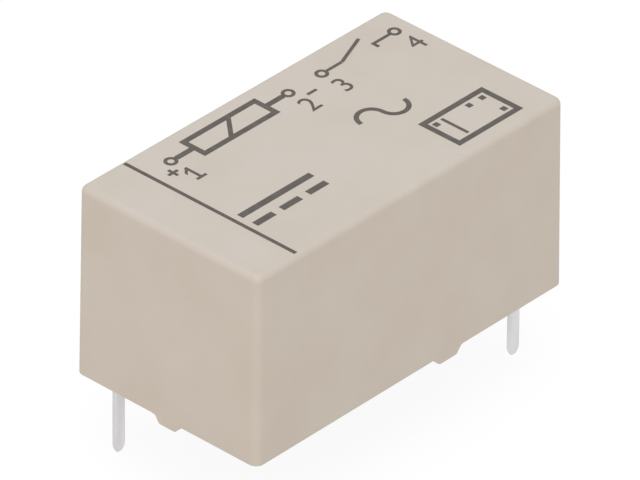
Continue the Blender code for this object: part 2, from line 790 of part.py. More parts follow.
def add_contact_terminal(name, side, tab_low, tab_end, hole_y, material):
    """Pin, shoulder and upright plate, folded over into a tab towards the middle."""
    y = side * PIN_Y
    half = TERMINAL_WIDTH / 2
    through = Vector((0, side * PIN_THICKNESS / 2, 0))
    bend = SHEET_BEND + PIN_THICKNESS / 2
    bend_z = tab_low + PIN_THICKNESS / 2 - bend
    rings = pin_rings(CONTACT_PIN_X, side)
    shoulder = FLOOR_Z + SEAT
    rings.append(blade_ring((CONTACT_PIN_X, y, shoulder), (PIN_WIDTH / 2, 0, 0), through, PIN_EDGE))
    rings.append(blade_ring((SPRING_X, y, shoulder + SHOULDER), (half, 0, 0), through, PIN_EDGE))
    for step in range(BEND_STEPS + 1):
        angle = math.pi / 2 * step / BEND_STEPS
        outward = Vector((0, side * math.cos(angle), math.sin(angle)))
        centre = Vector((SPRING_X, y - side * bend, bend_z)) + outward * bend
        rings.append(blade_ring(centre, (half, 0, 0), outward * (PIN_THICKNESS / 2), PIN_EDGE))
    end = (SPRING_X, tab_end, tab_low + PIN_THICKNESS / 2)
    rings.append(blade_ring(end, (half, 0, 0), (0, 0, PIN_THICKNESS / 2), PIN_EDGE))
    terminal = lofted(name, rings, material)
    hole = arc((SPRING_X, hole_y), SHANK_RADIUS + SEAT, 0, 2 * math.pi, ROUND_STEPS)[:-1]
    top = tab_low + 2 * PIN_THICKNESS
    cut(terminal, extruded(f"{name}_hole", hole, "z", tab_low - PIN_THICKNESS, top, material))
    return terminal


# Armature


def carrier_half():
    """Half width of the carrier, outside its cheeks."""
    return ARMATURE_WIDTH / 2 + SEAT + CARRIER_WALL


def tongue_end():
    return SPRING_X - CARD_LENGTH / 2 - CARD_WALL


def add_armature(material):
    """Flat iron bar with a tongue, and a crowned ridge that rocks on the magnet."""
    half = ARMATURE_WIDTH / 2
    tongue = TONGUE_WIDTH / 2
    left = PIVOT_X - ARMATURE_REACH
    right = PIVOT_X + ARMATURE_REACH
    outline = rounded(
        [
            (left, -half, ARMATURE_CORNER),
            (right, -half, ARMATURE_CORNER),
            (right, -tongue, 0),
            (tongue_end(), -tongue, ARMATURE_CORNER / 2),
            (tongue_end(), tongue, ARMATURE_CORNER / 2),
            (right, tongue, 0),
            (right, half, ARMATURE_CORNER),
            (left, half, ARMATURE_CORNER),
        ]
    )
    low_z = PIVOT_Z - ARMATURE_THICKNESS / 2
    high_z = PIVOT_Z + ARMATURE_THICKNESS / 2
    armature = extruded("armature", outline, "z", low_z, high_z, material)
    lean = math.acos(ARMATURE_THICKNESS / 2 / RIDGE_RADIUS)
    crown = arc(
        (PIVOT_X, PIVOT_Z), RIDGE_RADIUS, math.pi / 2 - lean, math.pi / 2 + lean, 2 * CORNER_STEPS
    )
    low = PIVOT_Z + ARMATURE_THICKNESS / 4
    ridge_outline = [Vector((crown[-1].x, low)), Vector((crown[0].x, low)), *crown]
    ridge_half = MAGNET_WIDTH / 2
    join(armature, extruded("ridge", ridge_outline, "y", -ridge_half, ridge_half, material))
    return armature


def add_carrier(material):
    """Moulded channel under the armature's middle, with a trunnion on each cheek."""
    outer = carrier_half()
    inner = ARMATURE_WIDTH / 2 + SEAT
    top = PIVOT_Z + ARMATURE_THICKNESS / 2
    floor = PIVOT_Z - ARMATURE_THICKNESS / 2 - SEAT
    corner = CARRIER_WALL / 2
    outline = rounded(
        [
            (-outer, floor - CARRIER_WALL, corner),
            (outer, floor - CARRIER_WALL, corner),
            (outer, top, corner / 2),
            (inner, top, corner / 2),
            (inner, floor, 0),
            (-inner, floor, 0),
            (-inner, top, corner / 2),
            (-outer, top, corner / 2),
        ]
    )
    half = CARRIER_LENGTH / 2
    carrier = extruded("armature_carrier", outline, "x", PIVOT_X - half, PIVOT_X + half, material)
    circle = arc((PIVOT_X, PIVOT_Z), TRUNNION_RADIUS, 0, 2 * math.pi, ROUND_STEPS)[:-1]
    root = outer - CARRIER_WALL / 2
    for side in (-1, 1):
        end = side * (outer + TRUNNION_LENGTH)
        join(carrier, extruded(f"trunnion_{side}", circle, "y", side * root, end, material))
    return carrier


def add_shim(material):
    """Thin non-magnetic plate under the contact-end pole."""
    low_z = PIVOT_Z + ARMATURE_THICKNESS / 2 + SEAT
    right = PIVOT_X + ARMATURE_REACH
    half = CORE_WIDTH / 2
    outline = rectangle(right - CORE_THICKNESS, right, -half, half, ARMATURE_CORNER)
    return extruded("residual_shim", outline, "z", low_z, low_z + SHIM_THICKNESS, material)


def add_card(material):
    """Moulded card: a socket on the tongue and an upright whose crest lifts the leaf."""
    half_y = TONGUE_WIDTH / 2 + SEAT + CARD_WALL
    half_z = ARMATURE_THICKNESS / 2 + SEAT + CARD_WALL
    left = BARRIER_X + CORE_GAP
    face = SPRING_X - CARD_LENGTH / 2
    right = SPRING_X + CARD_LENGTH / 2
    crest = PIVOT_Z + CARD_HEIGHT
    socket_outline = rounded(
        [
            (left, PIVOT_Z - half_z, CARD_WALL / 2),
            (right, PIVOT_Z - half_z, CARD_WALL),
            (right, PIVOT_Z + half_z + CARD_SHOULDER, 0),
            (face, PIVOT_Z + half_z + CARD_SHOULDER, 0),
            (face - CARD_WALL, PIVOT_Z + half_z, 0),
            (left, PIVOT_Z + half_z, CARD_WALL / 2),
        ]
    )
    card = extruded("actuator_card", socket_outline, "y", -half_y, half_y, material)
    upright_half = half_y - CARD_WALL / 2
    upright_outline = rounded(
        [
            (-upright_half, PIVOT_Z, 0),
            (upright_half, PIVOT_Z, 0),
            (upright_half, crest - CARD_SLOPE, CARD_CREST),
            (CARD_CREST, crest, CARD_CREST / 2),
            (-CARD_CREST, crest, CARD_CREST / 2),
            (-upright_half, crest - CARD_SLOPE, CARD_CREST),
        ]
    )
    lap = CARD_WALL / 4
    join(card, extruded("card_upright", upright_outline, "x", face + lap, right - lap, material))
    slot_y = TONGUE_WIDTH / 2 + SEAT
    slot_z = ARMATURE_THICKNESS / 2 + SEAT
    slot = rectangle(-slot_y, slot_y, PIVOT_Z - slot_z, PIVOT_Z + slot_z)
    cut(card, extruded("card_slot", slot, "x", left - CORE_GAP, tongue_end() + SEAT, material))
    return card


# Contacts


def leaf_hole(name, y, material):
    circle = arc((SPRING_X, y), SHANK_RADIUS + SEAT, 0, 2 * math.pi, ROUND_STEPS)[:-1]
    margin = 2 * LEAF_THICKNESS
    return extruded(name, circle, "z", SPRING_Z - margin, LEAF_TOP + margin, material)


def add_spring_root(material):
    """Clamped end of the leaf, riveted down on the spring terminal's tab."""
    half = LEAF_ROOT_WIDTH / 2
    end = PIN_Y - PIN_THICKNESS / 2 - SHEET_BEND
    outline = rectangle(SPRING_X - half, SPRING_X + half, CLAMP_Y + SEAT / 2, end)
    root = extruded("spring_root", outline, "z", SPRING_Z, LEAF_TOP, material)
    cut(root, leaf_hole("root_hole", RIVET_Y, material))
    return root


def add_leaf(material):
    """Free leaf: slotted near its root so that it bends there, round at the contact."""
    root = LEAF_ROOT_WIDTH / 2
    half = LEAF_WIDTH / 2
    end = CONTACT_Y - CONTACT_RADIUS - LEAF_END_MARGIN
    flare = CLAMP_Y - (LEAF_WIDTH - LEAF_ROOT_WIDTH)
    outline = rounded(
        [
            (SPRING_X - root, CLAMP_Y - SEAT / 2, 0),
            (SPRING_X - half, flare, LEAF_SLOT_WIDTH),
            (SPRING_X - half, end, LEAF_END_CORNER),
            (SPRING_X + half, end, LEAF_END_CORNER),
            (SPRING_X + half, flare, LEAF_SLOT_WIDTH),
            (SPRING_X + root, CLAMP_Y - SEAT / 2, 0),
        ]
    )
    leaf = extruded("contact_spring", outline, "z", SPRING_Z, LEAF_TOP, material)
    slot_half = LEAF_SLOT_WIDTH / 2
    low_y = CARD_CREST + LEAF_SLOT_WIDTH
    slot_outline = rectangle(
        SPRING_X - slot_half, SPRING_X + slot_half, low_y, CLAMP_Y - LEAF_SLOT_WIDTH, slot_half
    )
    margin = 2 * LEAF_THICKNESS
    slot = extruded("leaf_slot", slot_outline, "z", SPRING_Z - margin, LEAF_TOP + margin, material)
    cut(leaf, slot, leaf_hole("leaf_hole", CONTACT_Y, material))
    return leaf


def add_spring_rivet(material):
    """Rivet with a low domed head over the root and a flat tail under the tab."""
    tail = SPRING_TAB_TOP - PIN_THICKNESS - SEAT
    head = LEAF_TOP + SEAT
    profile = [
        (0, tail - RIVET_HEAD),
        (HEAD_RADIUS, tail - RIVET_HEAD),
        (HEAD_RADIUS, tail),
        (SHANK_RADIUS, tail),
        (SHANK_RADIUS, head),
    ]
    for step in range(CORNER_STEPS):
        angle = math.pi / 2 * step / CORNER_STEPS
        profile.append((HEAD_RADIUS * math.cos(angle), head + RIVET_HEAD * math.sin(angle)))
    profile.append((0, head + RIVET_HEAD))
    return turned("spring_rivet", profile, (SPRING_X, RIVET_Y), material)


def add_moving_contact(material):
    """Domed contact rivet through the leaf's free end."""
    tail = SPRING_Z - SEAT
    profile = [
        (0, tail - RIVET_HEAD),
        (HEAD_RADIUS, tail - RIVET_HEAD),
        (HEAD_RADIUS, tail),
        (SHANK_RADIUS, tail),
        (SHANK_RADIUS, LEAF_TOP + SEAT),
        (CONTACT_RADIUS, LEAF_TOP + SEAT),
    ]
    edge_angle = math.acos(CONTACT_RADIUS / DOME_RADIUS)
    for point in arc((0, DOME_CENTRE_Z), DOME_RADIUS, edge_angle, math.pi / 2, 3 * CORNER_STEPS):
        profile.append((max(point.x, 0), point.y))
    profile[-1] = (0, DOME_CENTRE_Z + DOME_RADIUS)
    return turned("moving_contact", profile, (SPRING_X, CONTACT_Y), material)


def add_fixed_contact(material):
    """Flat contact rivet, face down under the fixed terminal's tab."""
    top = FIXED_TAB_Z - SEAT
    head = FIXED_TAB_Z + PIN_THICKNESS + SEAT
    chamfer = CONTACT_RIM / 4
    profile = [
        (0, FIXED_Z),
        (CONTACT_RADIUS - chamfer, FIXED_Z),
        (CONTACT_RADIUS, FIXED_Z + chamfer),
        (CONTACT_RADIUS, top),
        (SHANK_RADIUS, top),
        (SHANK_RADIUS, head),
        (HEAD_RADIUS, head),
        (HEAD_RADIUS, head + RIVET_HEAD / 2),
        (HEAD_RADIUS - RIVET_HEAD / 2, head + RIVET_HEAD),
        (0, head + RIVET_HEAD),
    ]
    return turned("fixed_contact", profile, (SPRING_X, CONTACT_Y), material)


def add_contacts(tin, copper_alloy, silver):
    spring_tab_low = SPRING_TAB_TOP - PIN_THICKNESS
    add_contact_terminal("spring_terminal", 1, spring_tab_low, CLAMP_Y, RIVET_Y, tin)
    fixed_end = CONTACT_Y + CONTACT_RADIUS + LEAF_END_MARGIN
    add_contact_terminal("fixed_contact_terminal", -1, FIXED_TAB_Z, fixed_end, CONTACT_Y, tin)
    add_spring_root(copper_alloy)
    add_spring_rivet(silver)
    add_fixed_contact(silver)
    hinge = add_axis("contact_hinge", (SPRING_X, CLAMP_Y, HINGE_Z), 0)
    hang(add_leaf(copper_alloy), hinge)
    hang(add_moving_contact(silver), hinge)


def add_coil(plastic, copper, tape, tin, solder):
    add_bobbin(plastic)
    add_winding(copper)
    add_tape(tape)
    for name, start_x, flange_x, pin_x in (
        ("positive", WINDING_LEFT + TAPE_MARGIN / 2, COIL_LEFT, COIL_PIN_X),
        ("negative", WINDING_RIGHT - TAPE_MARGIN / 2, COIL_RIGHT, SECOND_COIL_PIN_X),
    ):
        add_coil_terminal(f"coil_terminal_{name}", pin_x, tin)
        add_lead(f"coil_lead_{name}", start_x, flange_x, pin_x, copper)
        add_joint(f"coil_joint_{name}", pin_x, solder)


def main():
    for old in list(bpy.data.objects):
        bpy.data.objects.remove(old)
    cover_plastic = add_material("cover_plastic", (0.60, 0.52, 0.44), 0.45)
    base_plastic = add_material("base_plastic", (0.20, 0.20, 0.19), 0.5)
    coil_plastic = add_material("coil_plastic", (0.78, 0.74, 0.62), 0.5)
    resin = add_material("epoxy_resin", (0.06, 0.06, 0.06), 0.25)
    iron = add_material("soft_iron", (0.50, 0.49, 0.47), 0.35, 1.0)
    magnet = add_material("magnet", (0.10, 0.10, 0.11), 0.6)
    copper = add_material("enamelled_copper", (0.62, 0.24, 0.10), 0.35, 1.0)
    tape = add_material("polyester_tape", (0.85, 0.68, 0.20), 0.4)
    tin = add_material("tinned_copper", (0.66, 0.65, 0.64), 0.3, 1.0)
    solder = add_material("solder", (0.62, 0.62, 0.62), 0.25, 1.0)
    copper_alloy = add_material("spring_copper_alloy", (0.70, 0.45, 0.24), 0.3, 1.0)
    silver = add_material("silver_alloy", (0.80, 0.79, 0.76), 0.3, 1.0)
    brass = add_material("shim_brass", (0.70, 0.55, 0.25), 0.3, 1.0)

    add_cover(cover_plastic)
    add_base(base_plastic)
    add_resin(resin)
    add_core(iron)
    add_magnet(magnet)
    add_coil(coil_plastic, copper, tape, tin, solder)
    add_contacts(tin, copper_alloy, silver)
    pivot = add_axis("armature_pivot", (PIVOT_X, 0, PIVOT_Z), REST_TILT)
    for moving in (add_armature(iron), add_carrier(base_plastic), add_card(coil_plastic), add_shim(brass)):
        hang(moving, pivot)


main()
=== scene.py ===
# %% [markdown]
# # A sealed power relay for a printed circuit board
#
# The relay is a pale moulded box, 20.2 mm long, that stands on four thin pins.
# Inside it a coil, a magnet and a rocking armature work one pair of contacts.
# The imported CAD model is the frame: every piece made here sits where its CAD
# node is, and rides on the same body. All lengths are metres, so MM turns the
# millimetres of a drawing into scene units.

# %% Load the frame
import math

import bmesh
import bpy
from mathutils import Matrix, Vector


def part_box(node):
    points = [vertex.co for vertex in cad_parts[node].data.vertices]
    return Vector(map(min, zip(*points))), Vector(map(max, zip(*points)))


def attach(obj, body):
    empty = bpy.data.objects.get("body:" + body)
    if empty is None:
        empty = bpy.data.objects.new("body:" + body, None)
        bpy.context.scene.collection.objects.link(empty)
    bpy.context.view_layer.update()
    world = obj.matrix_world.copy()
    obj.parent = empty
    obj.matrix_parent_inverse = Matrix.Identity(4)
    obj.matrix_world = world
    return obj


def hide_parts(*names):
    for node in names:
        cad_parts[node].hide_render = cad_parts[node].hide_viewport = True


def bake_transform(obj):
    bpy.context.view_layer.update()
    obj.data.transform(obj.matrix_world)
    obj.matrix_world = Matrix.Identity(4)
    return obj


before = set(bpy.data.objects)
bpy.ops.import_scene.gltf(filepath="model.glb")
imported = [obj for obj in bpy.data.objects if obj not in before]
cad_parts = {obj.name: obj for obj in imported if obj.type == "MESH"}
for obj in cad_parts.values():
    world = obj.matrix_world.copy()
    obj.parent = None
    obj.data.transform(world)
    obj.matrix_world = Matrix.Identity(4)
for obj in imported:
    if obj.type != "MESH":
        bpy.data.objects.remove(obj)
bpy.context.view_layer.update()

MM = 0.001

# %% [markdown]
# ## Camera
#
# The photograph was taken from far away with a long lens, so the edges of the
# box stay almost parallel. The camera looks down at 33.8 degrees from the
# corner between the coil end and the near long side. It is placed by turning
# a frame first about its own axis, then by the elevation, then by the azimuth,
# and by moving it back along its own Z axis.

# %% Camera at the photograph's angle
AZIMUTH = math.radians(-47.617)
ELEVATION = math.radians(33.762)
ROLL = math.radians(0.628)
DISTANCE = 511.27 * MM
AIM = Vector((-0.169, -0.060, 8.753)) * MM
SENSOR_WIDTH = 36.0
FOCAL_LENGTH = 647.2
NEAR_CLIP = 50 * MM

turn = (
    Matrix.Rotation(AZIMUTH, 4, "Z")
    @ Matrix.Rotation(math.pi / 2 - ELEVATION, 4, "X")
    @ Matrix.Rotation(ROLL, 4, "Z")
)
lens = bpy.data.cameras.new("long_lens")
lens.sensor_width = SENSOR_WIDTH
lens.lens = FOCAL_LENGTH
lens.clip_start = NEAR_CLIP
camera = bpy.data.objects.new("camera", lens)
camera.matrix_world = Matrix.Translation(AIM) @ turn @ Matrix.Translation((0, 0, DISTANCE))
bpy.context.scene.collection.objects.link(camera)
bpy.context.scene.camera = camera
bpy.context.scene.view_settings.view_transform = "Standard"
print("camera at", [round(c / MM, 1) for c in camera.matrix_world.translation], "mm")

# %% [markdown]
# ## Nodes and colours
#
# Colours are written as the hex codes that a colour picker shows. Those are
# sRGB values, and Blender's shaders want linear light, so one function turns
# one into the other. A second function adds a shader node, sets it and links
# it, which keeps each material short enough to read.


# %% Colour and node helpers
def linear(code):
    """Linear RGBA of an sRGB hex code such as #CCC2B4."""
    channels = [int(code[place : place + 2], 16) / 255 for place in (1, 3, 5)]
    return (*(c / 12.92 if c <= 0.04045 else ((c + 0.055) / 1.055) ** 2.4 for c in channels), 1.0)


def add_node(tree, kind, inputs=None, **settings):
    """Add a shader node, set its properties, and fill or link its inputs."""
    node = tree.nodes.new(kind)
    for name, value in settings.items():
        setattr(node, name, value)
    for socket, value in (inputs or {}).items():
        if isinstance(value, bpy.types.NodeSocket):
            tree.links.new(value, node.inputs[socket])
        else:
            node.inputs[socket].default_value = value
    return node


WHITE = linear("#FFFFFF")
print("cover colour in linear light:", [round(c, 3) for c in linear("#CCC2B4")])

# %% [markdown]
# ## The white room
#
# The relay stands under soft, even light, and most of that comes from the
# world. To the camera, and to anything mirrored or seen through, the world is
# pure white. Light Path tells such rays from the ones that light a surface, so
# the background can be white without more light falling on the relay.


# %% World
def seen_directly(tree):
    """1 for rays from the camera, mirrors and clear material, 0 for the light on surfaces."""
    path = add_node(tree, "ShaderNodeLightPath").outputs
    looked_at = {0: path["Is Camera Ray"], 1: path["Is Glossy Ray"]}
    mirrored = add_node(tree, "ShaderNodeMath", looked_at, operation="MAXIMUM").outputs[0]
    either = {0: mirrored, 1: path["Is Transmission Ray"]}
    return add_node(tree, "ShaderNodeMath", either, operation="MAXIMUM").outputs[0]


WORLD_LIGHT = 0.64
world = bpy.data.worlds.new("white_room")
world.use_nodes = True
tree = world.node_tree
tree.nodes.clear()
room = add_node(tree, "ShaderNodeBackground", {"Color": linear("#FBFCFF"), "Strength": WORLD_LIGHT})
backdrop = add_node(tree, "ShaderNodeBackground", {"Color": WHITE, "Strength": 1.0})
choice = {0: seen_directly(tree), 1: room.outputs[0], 2: backdrop.outputs[0]}
chosen = add_node(tree, "ShaderNodeMixShader", choice)
add_node(tree, "ShaderNodeOutputWorld", {"Surface": chosen.outputs[0]})
bpy.context.scene.world = world
print("world light", WORLD_LIGHT)

# %% [markdown]
# ## The floor
#
# The floor is a wide sheet of matt white paper. To the camera it is mostly
# white by itself, and takes only the rest from the light that falls on it. So
# it still shows a faint shadow under the relay.

# %% Floor
FLOOR_HALF = 3.0
FLOOR_GLOW = 0.92
FLOOR_SHADE = 0.1

paper = bpy.data.materials.new("matt_white_paper")
paper.use_nodes = True
tree = paper.node_tree
tree.nodes.clear()
sheet = add_node(tree, "ShaderNodeBsdfDiffuse", {"Color": linear("#EDE9E3")})
shade = add_node(tree, "ShaderNodeBsdfDiffuse", {"Color": (FLOOR_SHADE, FLOOR_SHADE, FLOOR_SHADE, 1)})
glow = add_node(tree, "ShaderNodeEmission", {"Color": WHITE, "Strength": FLOOR_GLOW})
shown = add_node(tree, "ShaderNodeAddShader", {0: shade.outputs[0], 1: glow.outputs[0]})
choice = {0: seen_directly(tree), 1: sheet.outputs[0], 2: shown.outputs[0]}
chosen = add_node(tree, "ShaderNodeMixShader", choice)
add_node(tree, "ShaderNodeOutputMaterial", {"Surface": chosen.outputs[0]})

ground = bmesh.new()
bmesh.ops.create_grid(ground, x_segments=1, y_segments=1, size=FLOOR_HALF)
ground_mesh = bpy.data.meshes.new("floor")
ground.to_mesh(ground_mesh)
ground.free()
ground_mesh.materials.append(paper)
floor = bpy.data.objects.new("floor", ground_mesh)
bpy.context.scene.collection.objects.link(floor)
print("floor", 2 * FLOOR_HALF, "m wide")

# %% [markdown]
# ## Lamps
#
# Two wide, weak area lamps model the edges of the box. The one above is a
# little cool and lights the top. The one beside the camera is a little warm
# and lifts the two sides that the camera sees.

# %% Lamps
RELAY_MIDDLE = Vector((0, 0, 9)) * MM
LAMPS = (
    ("overhead_softbox", (-0.06, -0.03, 0.42), 0.34, 0.69, "#EFF2FF"),
    ("camera_side_softbox", (-0.36, -0.30, 0.20), 0.30, 0.50, "#FFF3E6"),
)


def add_lamp(name, place, size, power, colour):
    """Square area lamp that faces the relay, with place and size in metres, power in watts."""
    light = bpy.data.lights.new(name, "AREA")
    light.size = size
    light.energy = power
    light.color = linear(colour)[:3]
    lamp = bpy.data.objects.new(name, light)
    facing = (RELAY_MIDDLE - Vector(place)).to_track_quat("-Z", "Y").to_matrix().to_4x4()
    lamp.matrix_world = Matrix.Translation(place) @ facing
    bpy.context.scene.collection.objects.link(lamp)
    print(name, power, "W")


for lamp_values in LAMPS:
    add_lamp(*lamp_values)

# %% [markdown]
# ## The layers of a surface
#
# Few real surfaces are one flat colour. Nearly all of them drift between two
# close tones, vary a little in gloss, and carry a fine relief. One function
# builds these layers, and each material gives it the sizes that its own way
# of making leaves, in millimetres. `stretch` below 1 draws the pattern out
# along an axis, as rolling or drawing metal does.

# %% Layered material
NOISE_LOW = 0.3
NOISE_HIGH = 0.7


def layered(name, tones, gloss, grain, relief, drift, stretch=(1, 1, 1), metallic=0.0, ior=None):
    """Material from two tones, a (low, high) roughness, and grain, relief and drift in millimetres."""
    material = bpy.data.materials.new(name)
    material.use_nodes = True
    tree = material.node_tree
    shader = tree.nodes["Principled BSDF"]
    shader.inputs["Metallic"].default_value = metallic
    if ior:
        shader.inputs["IOR"].default_value = ior
    place = add_node(tree, "ShaderNodeTexCoord").outputs["Object"]
    drawn = add_node(tree, "ShaderNodeMapping", {"Vector": place, "Scale": stretch}).outputs[0]
    slow = add_node(tree, "ShaderNodeTexNoise", {"Vector": drawn, "Scale": 1 / (drift * MM), "Detail": 3.0})
    fine = add_node(tree, "ShaderNodeTexNoise", {"Vector": drawn, "Scale": 1 / (grain * MM), "Detail": 2.0})
    ramp = add_node(tree, "ShaderNodeValToRGB", {"Fac": slow.outputs[0]})
    for stop, position, tone in zip(ramp.color_ramp.elements, (NOISE_LOW, NOISE_HIGH), tones):
        stop.position = position
        stop.color = linear(tone)
    tree.links.new(ramp.outputs[0], shader.inputs["Base Color"])
    spread = {"From Min": NOISE_LOW, "From Max": NOISE_HIGH, "To Min": gloss[0], "To Max": gloss[1]}
    rough = add_node(tree, "ShaderNodeMapRange", {"Value": fine.outputs[0], **spread})
    tree.links.new(rough.outputs[0], shader.inputs["Roughness"])
    bump = add_node(tree, "ShaderNodeBump", {"Height": fine.outputs[0], "Distance": relief * MM})
    tree.links.new(bump.outputs[0], shader.inputs["Normal"])
    return material


# %% [markdown]
# ## Plastics
#
# The cover is polybutylene terephthalate (PBT) filled with fine glass, moulded
# in a spark-eroded tool. That gives a satin skin with a relief of a micron or
# two and no visible grain from a hand's breadth away. Base and carrier are the
# same plastic in black, the coil former a natural liquid-crystal polymer that
# flows in faint lines, and the card white polyacetal.

# %% Plastics
cover_plastic = layered(
    "moulded_beige_pbt", ("#CBC0B1", "#CFC5B7"), (0.46, 0.56), grain=0.05, relief=0.0012, drift=3.0, ior=1.55
)
base_plastic = layered(
    "moulded_black_pbt", ("#2B2A29", "#33322F"), (0.42, 0.55), grain=0.05, relief=0.0015, drift=1.5, ior=1.55
)
former_plastic = layered(
    "moulded_natural_lcp",
    ("#D6CBB0", "#DDD4BC"),
    (0.45, 0.6),
    grain=0.06,
    relief=0.0015,
    drift=1.0,
    stretch=(0.4, 1, 1),
)
card_plastic = layered(
    "moulded_white_pom", ("#E6E3DA", "#EDEAE2"), (0.35, 0.45), grain=0.08, relief=0.001, drift=1.0, ior=1.48
)
print("plastics:", [m.name for m in bpy.data.materials if m.name.startswith("moulded")])

# %% [markdown]
# ## Resin, ink and tape
#
# The epoxy that seals the underside is poured, so it sets smooth and glossy.
# The print is a matt ink put on with a soft pad. The tape is a thin amber
# polyester film, smooth but for faint lines along it.

# %% Resin, ink and tape
epoxy = layered(
    "poured_dark_epoxy", ("#1F1E1D", "#2A2826"), (0.12, 0.2), grain=0.9, relief=0.006, drift=2.0, ior=1.55
)
ink = layered(
    "pad_printed_grey_ink", ("#534D45", "#615B53"), (0.6, 0.75), grain=0.04, relief=0.001, drift=0.4, ior=1.5
)
tape_film = layered(
    "polyester_film_tape",
    ("#C79A3C", "#D2A84C"),
    (0.25, 0.4),
    grain=0.3,
    relief=0.002,
    drift=2.0,
    stretch=(0.3, 1, 1),
    ior=1.6,
)
print("materials so far:", len(bpy.data.materials))

# %% [markdown]
# ## Metals and magnet
#
# The pins are stamped from copper strip and tinned by dipping, which leaves a
# pale grey, slightly clouded surface with faint runs down the pin. The core
# and armature are soft iron, annealed to a dull grey. The leaf is rolled copper
# alloy with a fine grain across the relay. The contacts are silver alloy
# rivets, the shim is rolled brass, the wire copper under a clear red enamel.
# The magnet is pressed and sintered ferrite, a matt dark grey ceramic.


# %% Metals and magnet
def metal(name, tones, gloss, grain, relief, drift, stretch=(1, 1, 1)):
    """Layered material that is metal all over."""
    return layered(name, tones, gloss, grain, relief, drift, stretch, metallic=1.0)


tin = metal("dipped_tin_on_copper", ("#D2D0D0", "#E0DEDE"), (0.3, 0.42), 0.09, 0.002, 0.5, (1, 1, 0.25))
iron = metal("annealed_soft_iron", ("#8E8B86", "#A09D98"), (0.32, 0.45), 0.07, 0.002, 1.0, (0.3, 1, 1))
alloy = metal("rolled_copper_alloy", ("#C48E5C", "#D19C69"), (0.22, 0.34), 0.05, 0.0008, 0.8, (1, 0.1, 1))
silver = metal("silver_alloy_contact", ("#CFCCC5", "#DDDAD3"), (0.25, 0.4), 0.06, 0.001, 0.4)
brass = metal("rolled_brass_shim", ("#B99A58", "#C8AA68"), (0.22, 0.34), 0.05, 0.0008, 0.8, (0.15, 1, 1))
solder = metal("reflowed_tin_solder", ("#BDBCBB", "#D0CFCD"), (0.15, 0.3), 0.12, 0.002, 0.3)
wire = metal("enamelled_copper_wire", ("#A4512A", "#B8623A"), (0.2, 0.32), 0.1, 0.001, 1.0, (0.2, 1, 1))
ferrite = layered("sintered_ferrite", ("#3A3A3C", "#464648"), (0.6, 0.75), 0.04, 0.003, 0.6)
print("materials so far:", len(bpy.data.materials))

# %% [markdown]
# ## Finishing a mesh
#
# Each mesh ends the same way: it becomes an object at the origin, gets its
# material, and rides on a body. Its faces are shaded smooth, apart from edges
# sharper than 40 degrees. Weighted normals keep the large flat faces flat to
# the eye beside their rounded edges.

# %% Finish a mesh
SHARP = math.radians(40)


def closed(shape):
    """True where every edge has a face on each side."""
    return all(edge.is_manifold for edge in shape.edges)


def finish_piece(name, shape, material, body, nodes=()):
    """Turn a bmesh into a shaded object that rides on a body and stands for CAD nodes."""
    print(f"{name}: {len(shape.faces)} faces on {body}, closed: {closed(shape)}")
    mesh = bpy.data.meshes.new(name)
    shape.to_mesh(mesh)
    shape.free()
    mesh.shade_smooth()
    mesh.set_sharp_from_angle(angle=SHARP)
    mesh.materials.append(material)
    piece = bpy.data.objects.new(name, mesh)
    bpy.context.scene.collection.objects.link(piece)
    weighted = piece.modifiers.new("flat_faces", "WEIGHTED_NORMAL")
    weighted.keep_sharp = True
    if body:
        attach(piece, body)
    if nodes:
        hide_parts(*nodes)
    return piece


# %% [markdown]
# Many pieces take their shape from the frame. A CAD node is made of loose
# triangles, so a copy of it is welded, and the lines between faces in one
# plane are taken out. Then its sharp edges are rounded a little, since no
# stamped or moulded edge is perfect.

# %% Rounded copy of a node
FLAT = math.radians(0.5)
WELD = 0.0001 * MM
EDGE_SEGMENTS = 2


def node_shape(node, join_flat=True):
    """Welded copy of a CAD node as a bmesh, with the faces in one plane joined."""
    shape = bmesh.new()
    shape.from_mesh(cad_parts[node].data)
    bmesh.ops.remove_doubles(shape, verts=shape.verts, dist=WELD)
    if join_flat:
        bmesh.ops.dissolve_limit(shape, angle_limit=FLAT, verts=shape.verts, edges=shape.edges)
    return shape


def rounded_copy(name, node, material, radius, body="root"):
    """Copy of a CAD node with clean flat faces and edges rounded by a radius in millimetres."""
    shape = node_shape(node)
    hard = [edge for edge in shape.edges if edge.is_manifold and edge.calc_face_angle() > SHARP]
    bmesh.ops.bevel(
        shape,
        geom=hard,
        offset=radius * MM,
        segments=EDGE_SEGMENTS,
        profile=0.5,
        affect="EDGES",
        material=-1,
        clamp_overlap=True,
    )
    bmesh.ops.recalc_face_normals(shape, faces=shape.faces)
    finish_piece(name, shape, material, body, [node])


# %% [markdown]
# ## The moulded cover
#
# The cover is a thin box, open below, whose walls lean in by half a degree so
# that it comes off its mould. All its outer edges are rounded. A real one is
# designed as an outer block less an inner one, and the same idea works here
# without a Boolean: make both blocks as open skins with the same number of
# corner segments, then bridge the two rims.

# %% Skin of a leaning box
low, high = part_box("cover")
HALF_LENGTH = high.x
HALF_WIDTH = high.y
TOP_Z = high.z
BOARD_Z = low.z
FOOT_HEIGHT = 0.4 * MM
RIM_Z = BOARD_Z + FOOT_HEIGHT
DRAFT = math.tan(math.radians(0.55))
CORNER_SEGMENTS = 8
TINY = 0.001 * MM


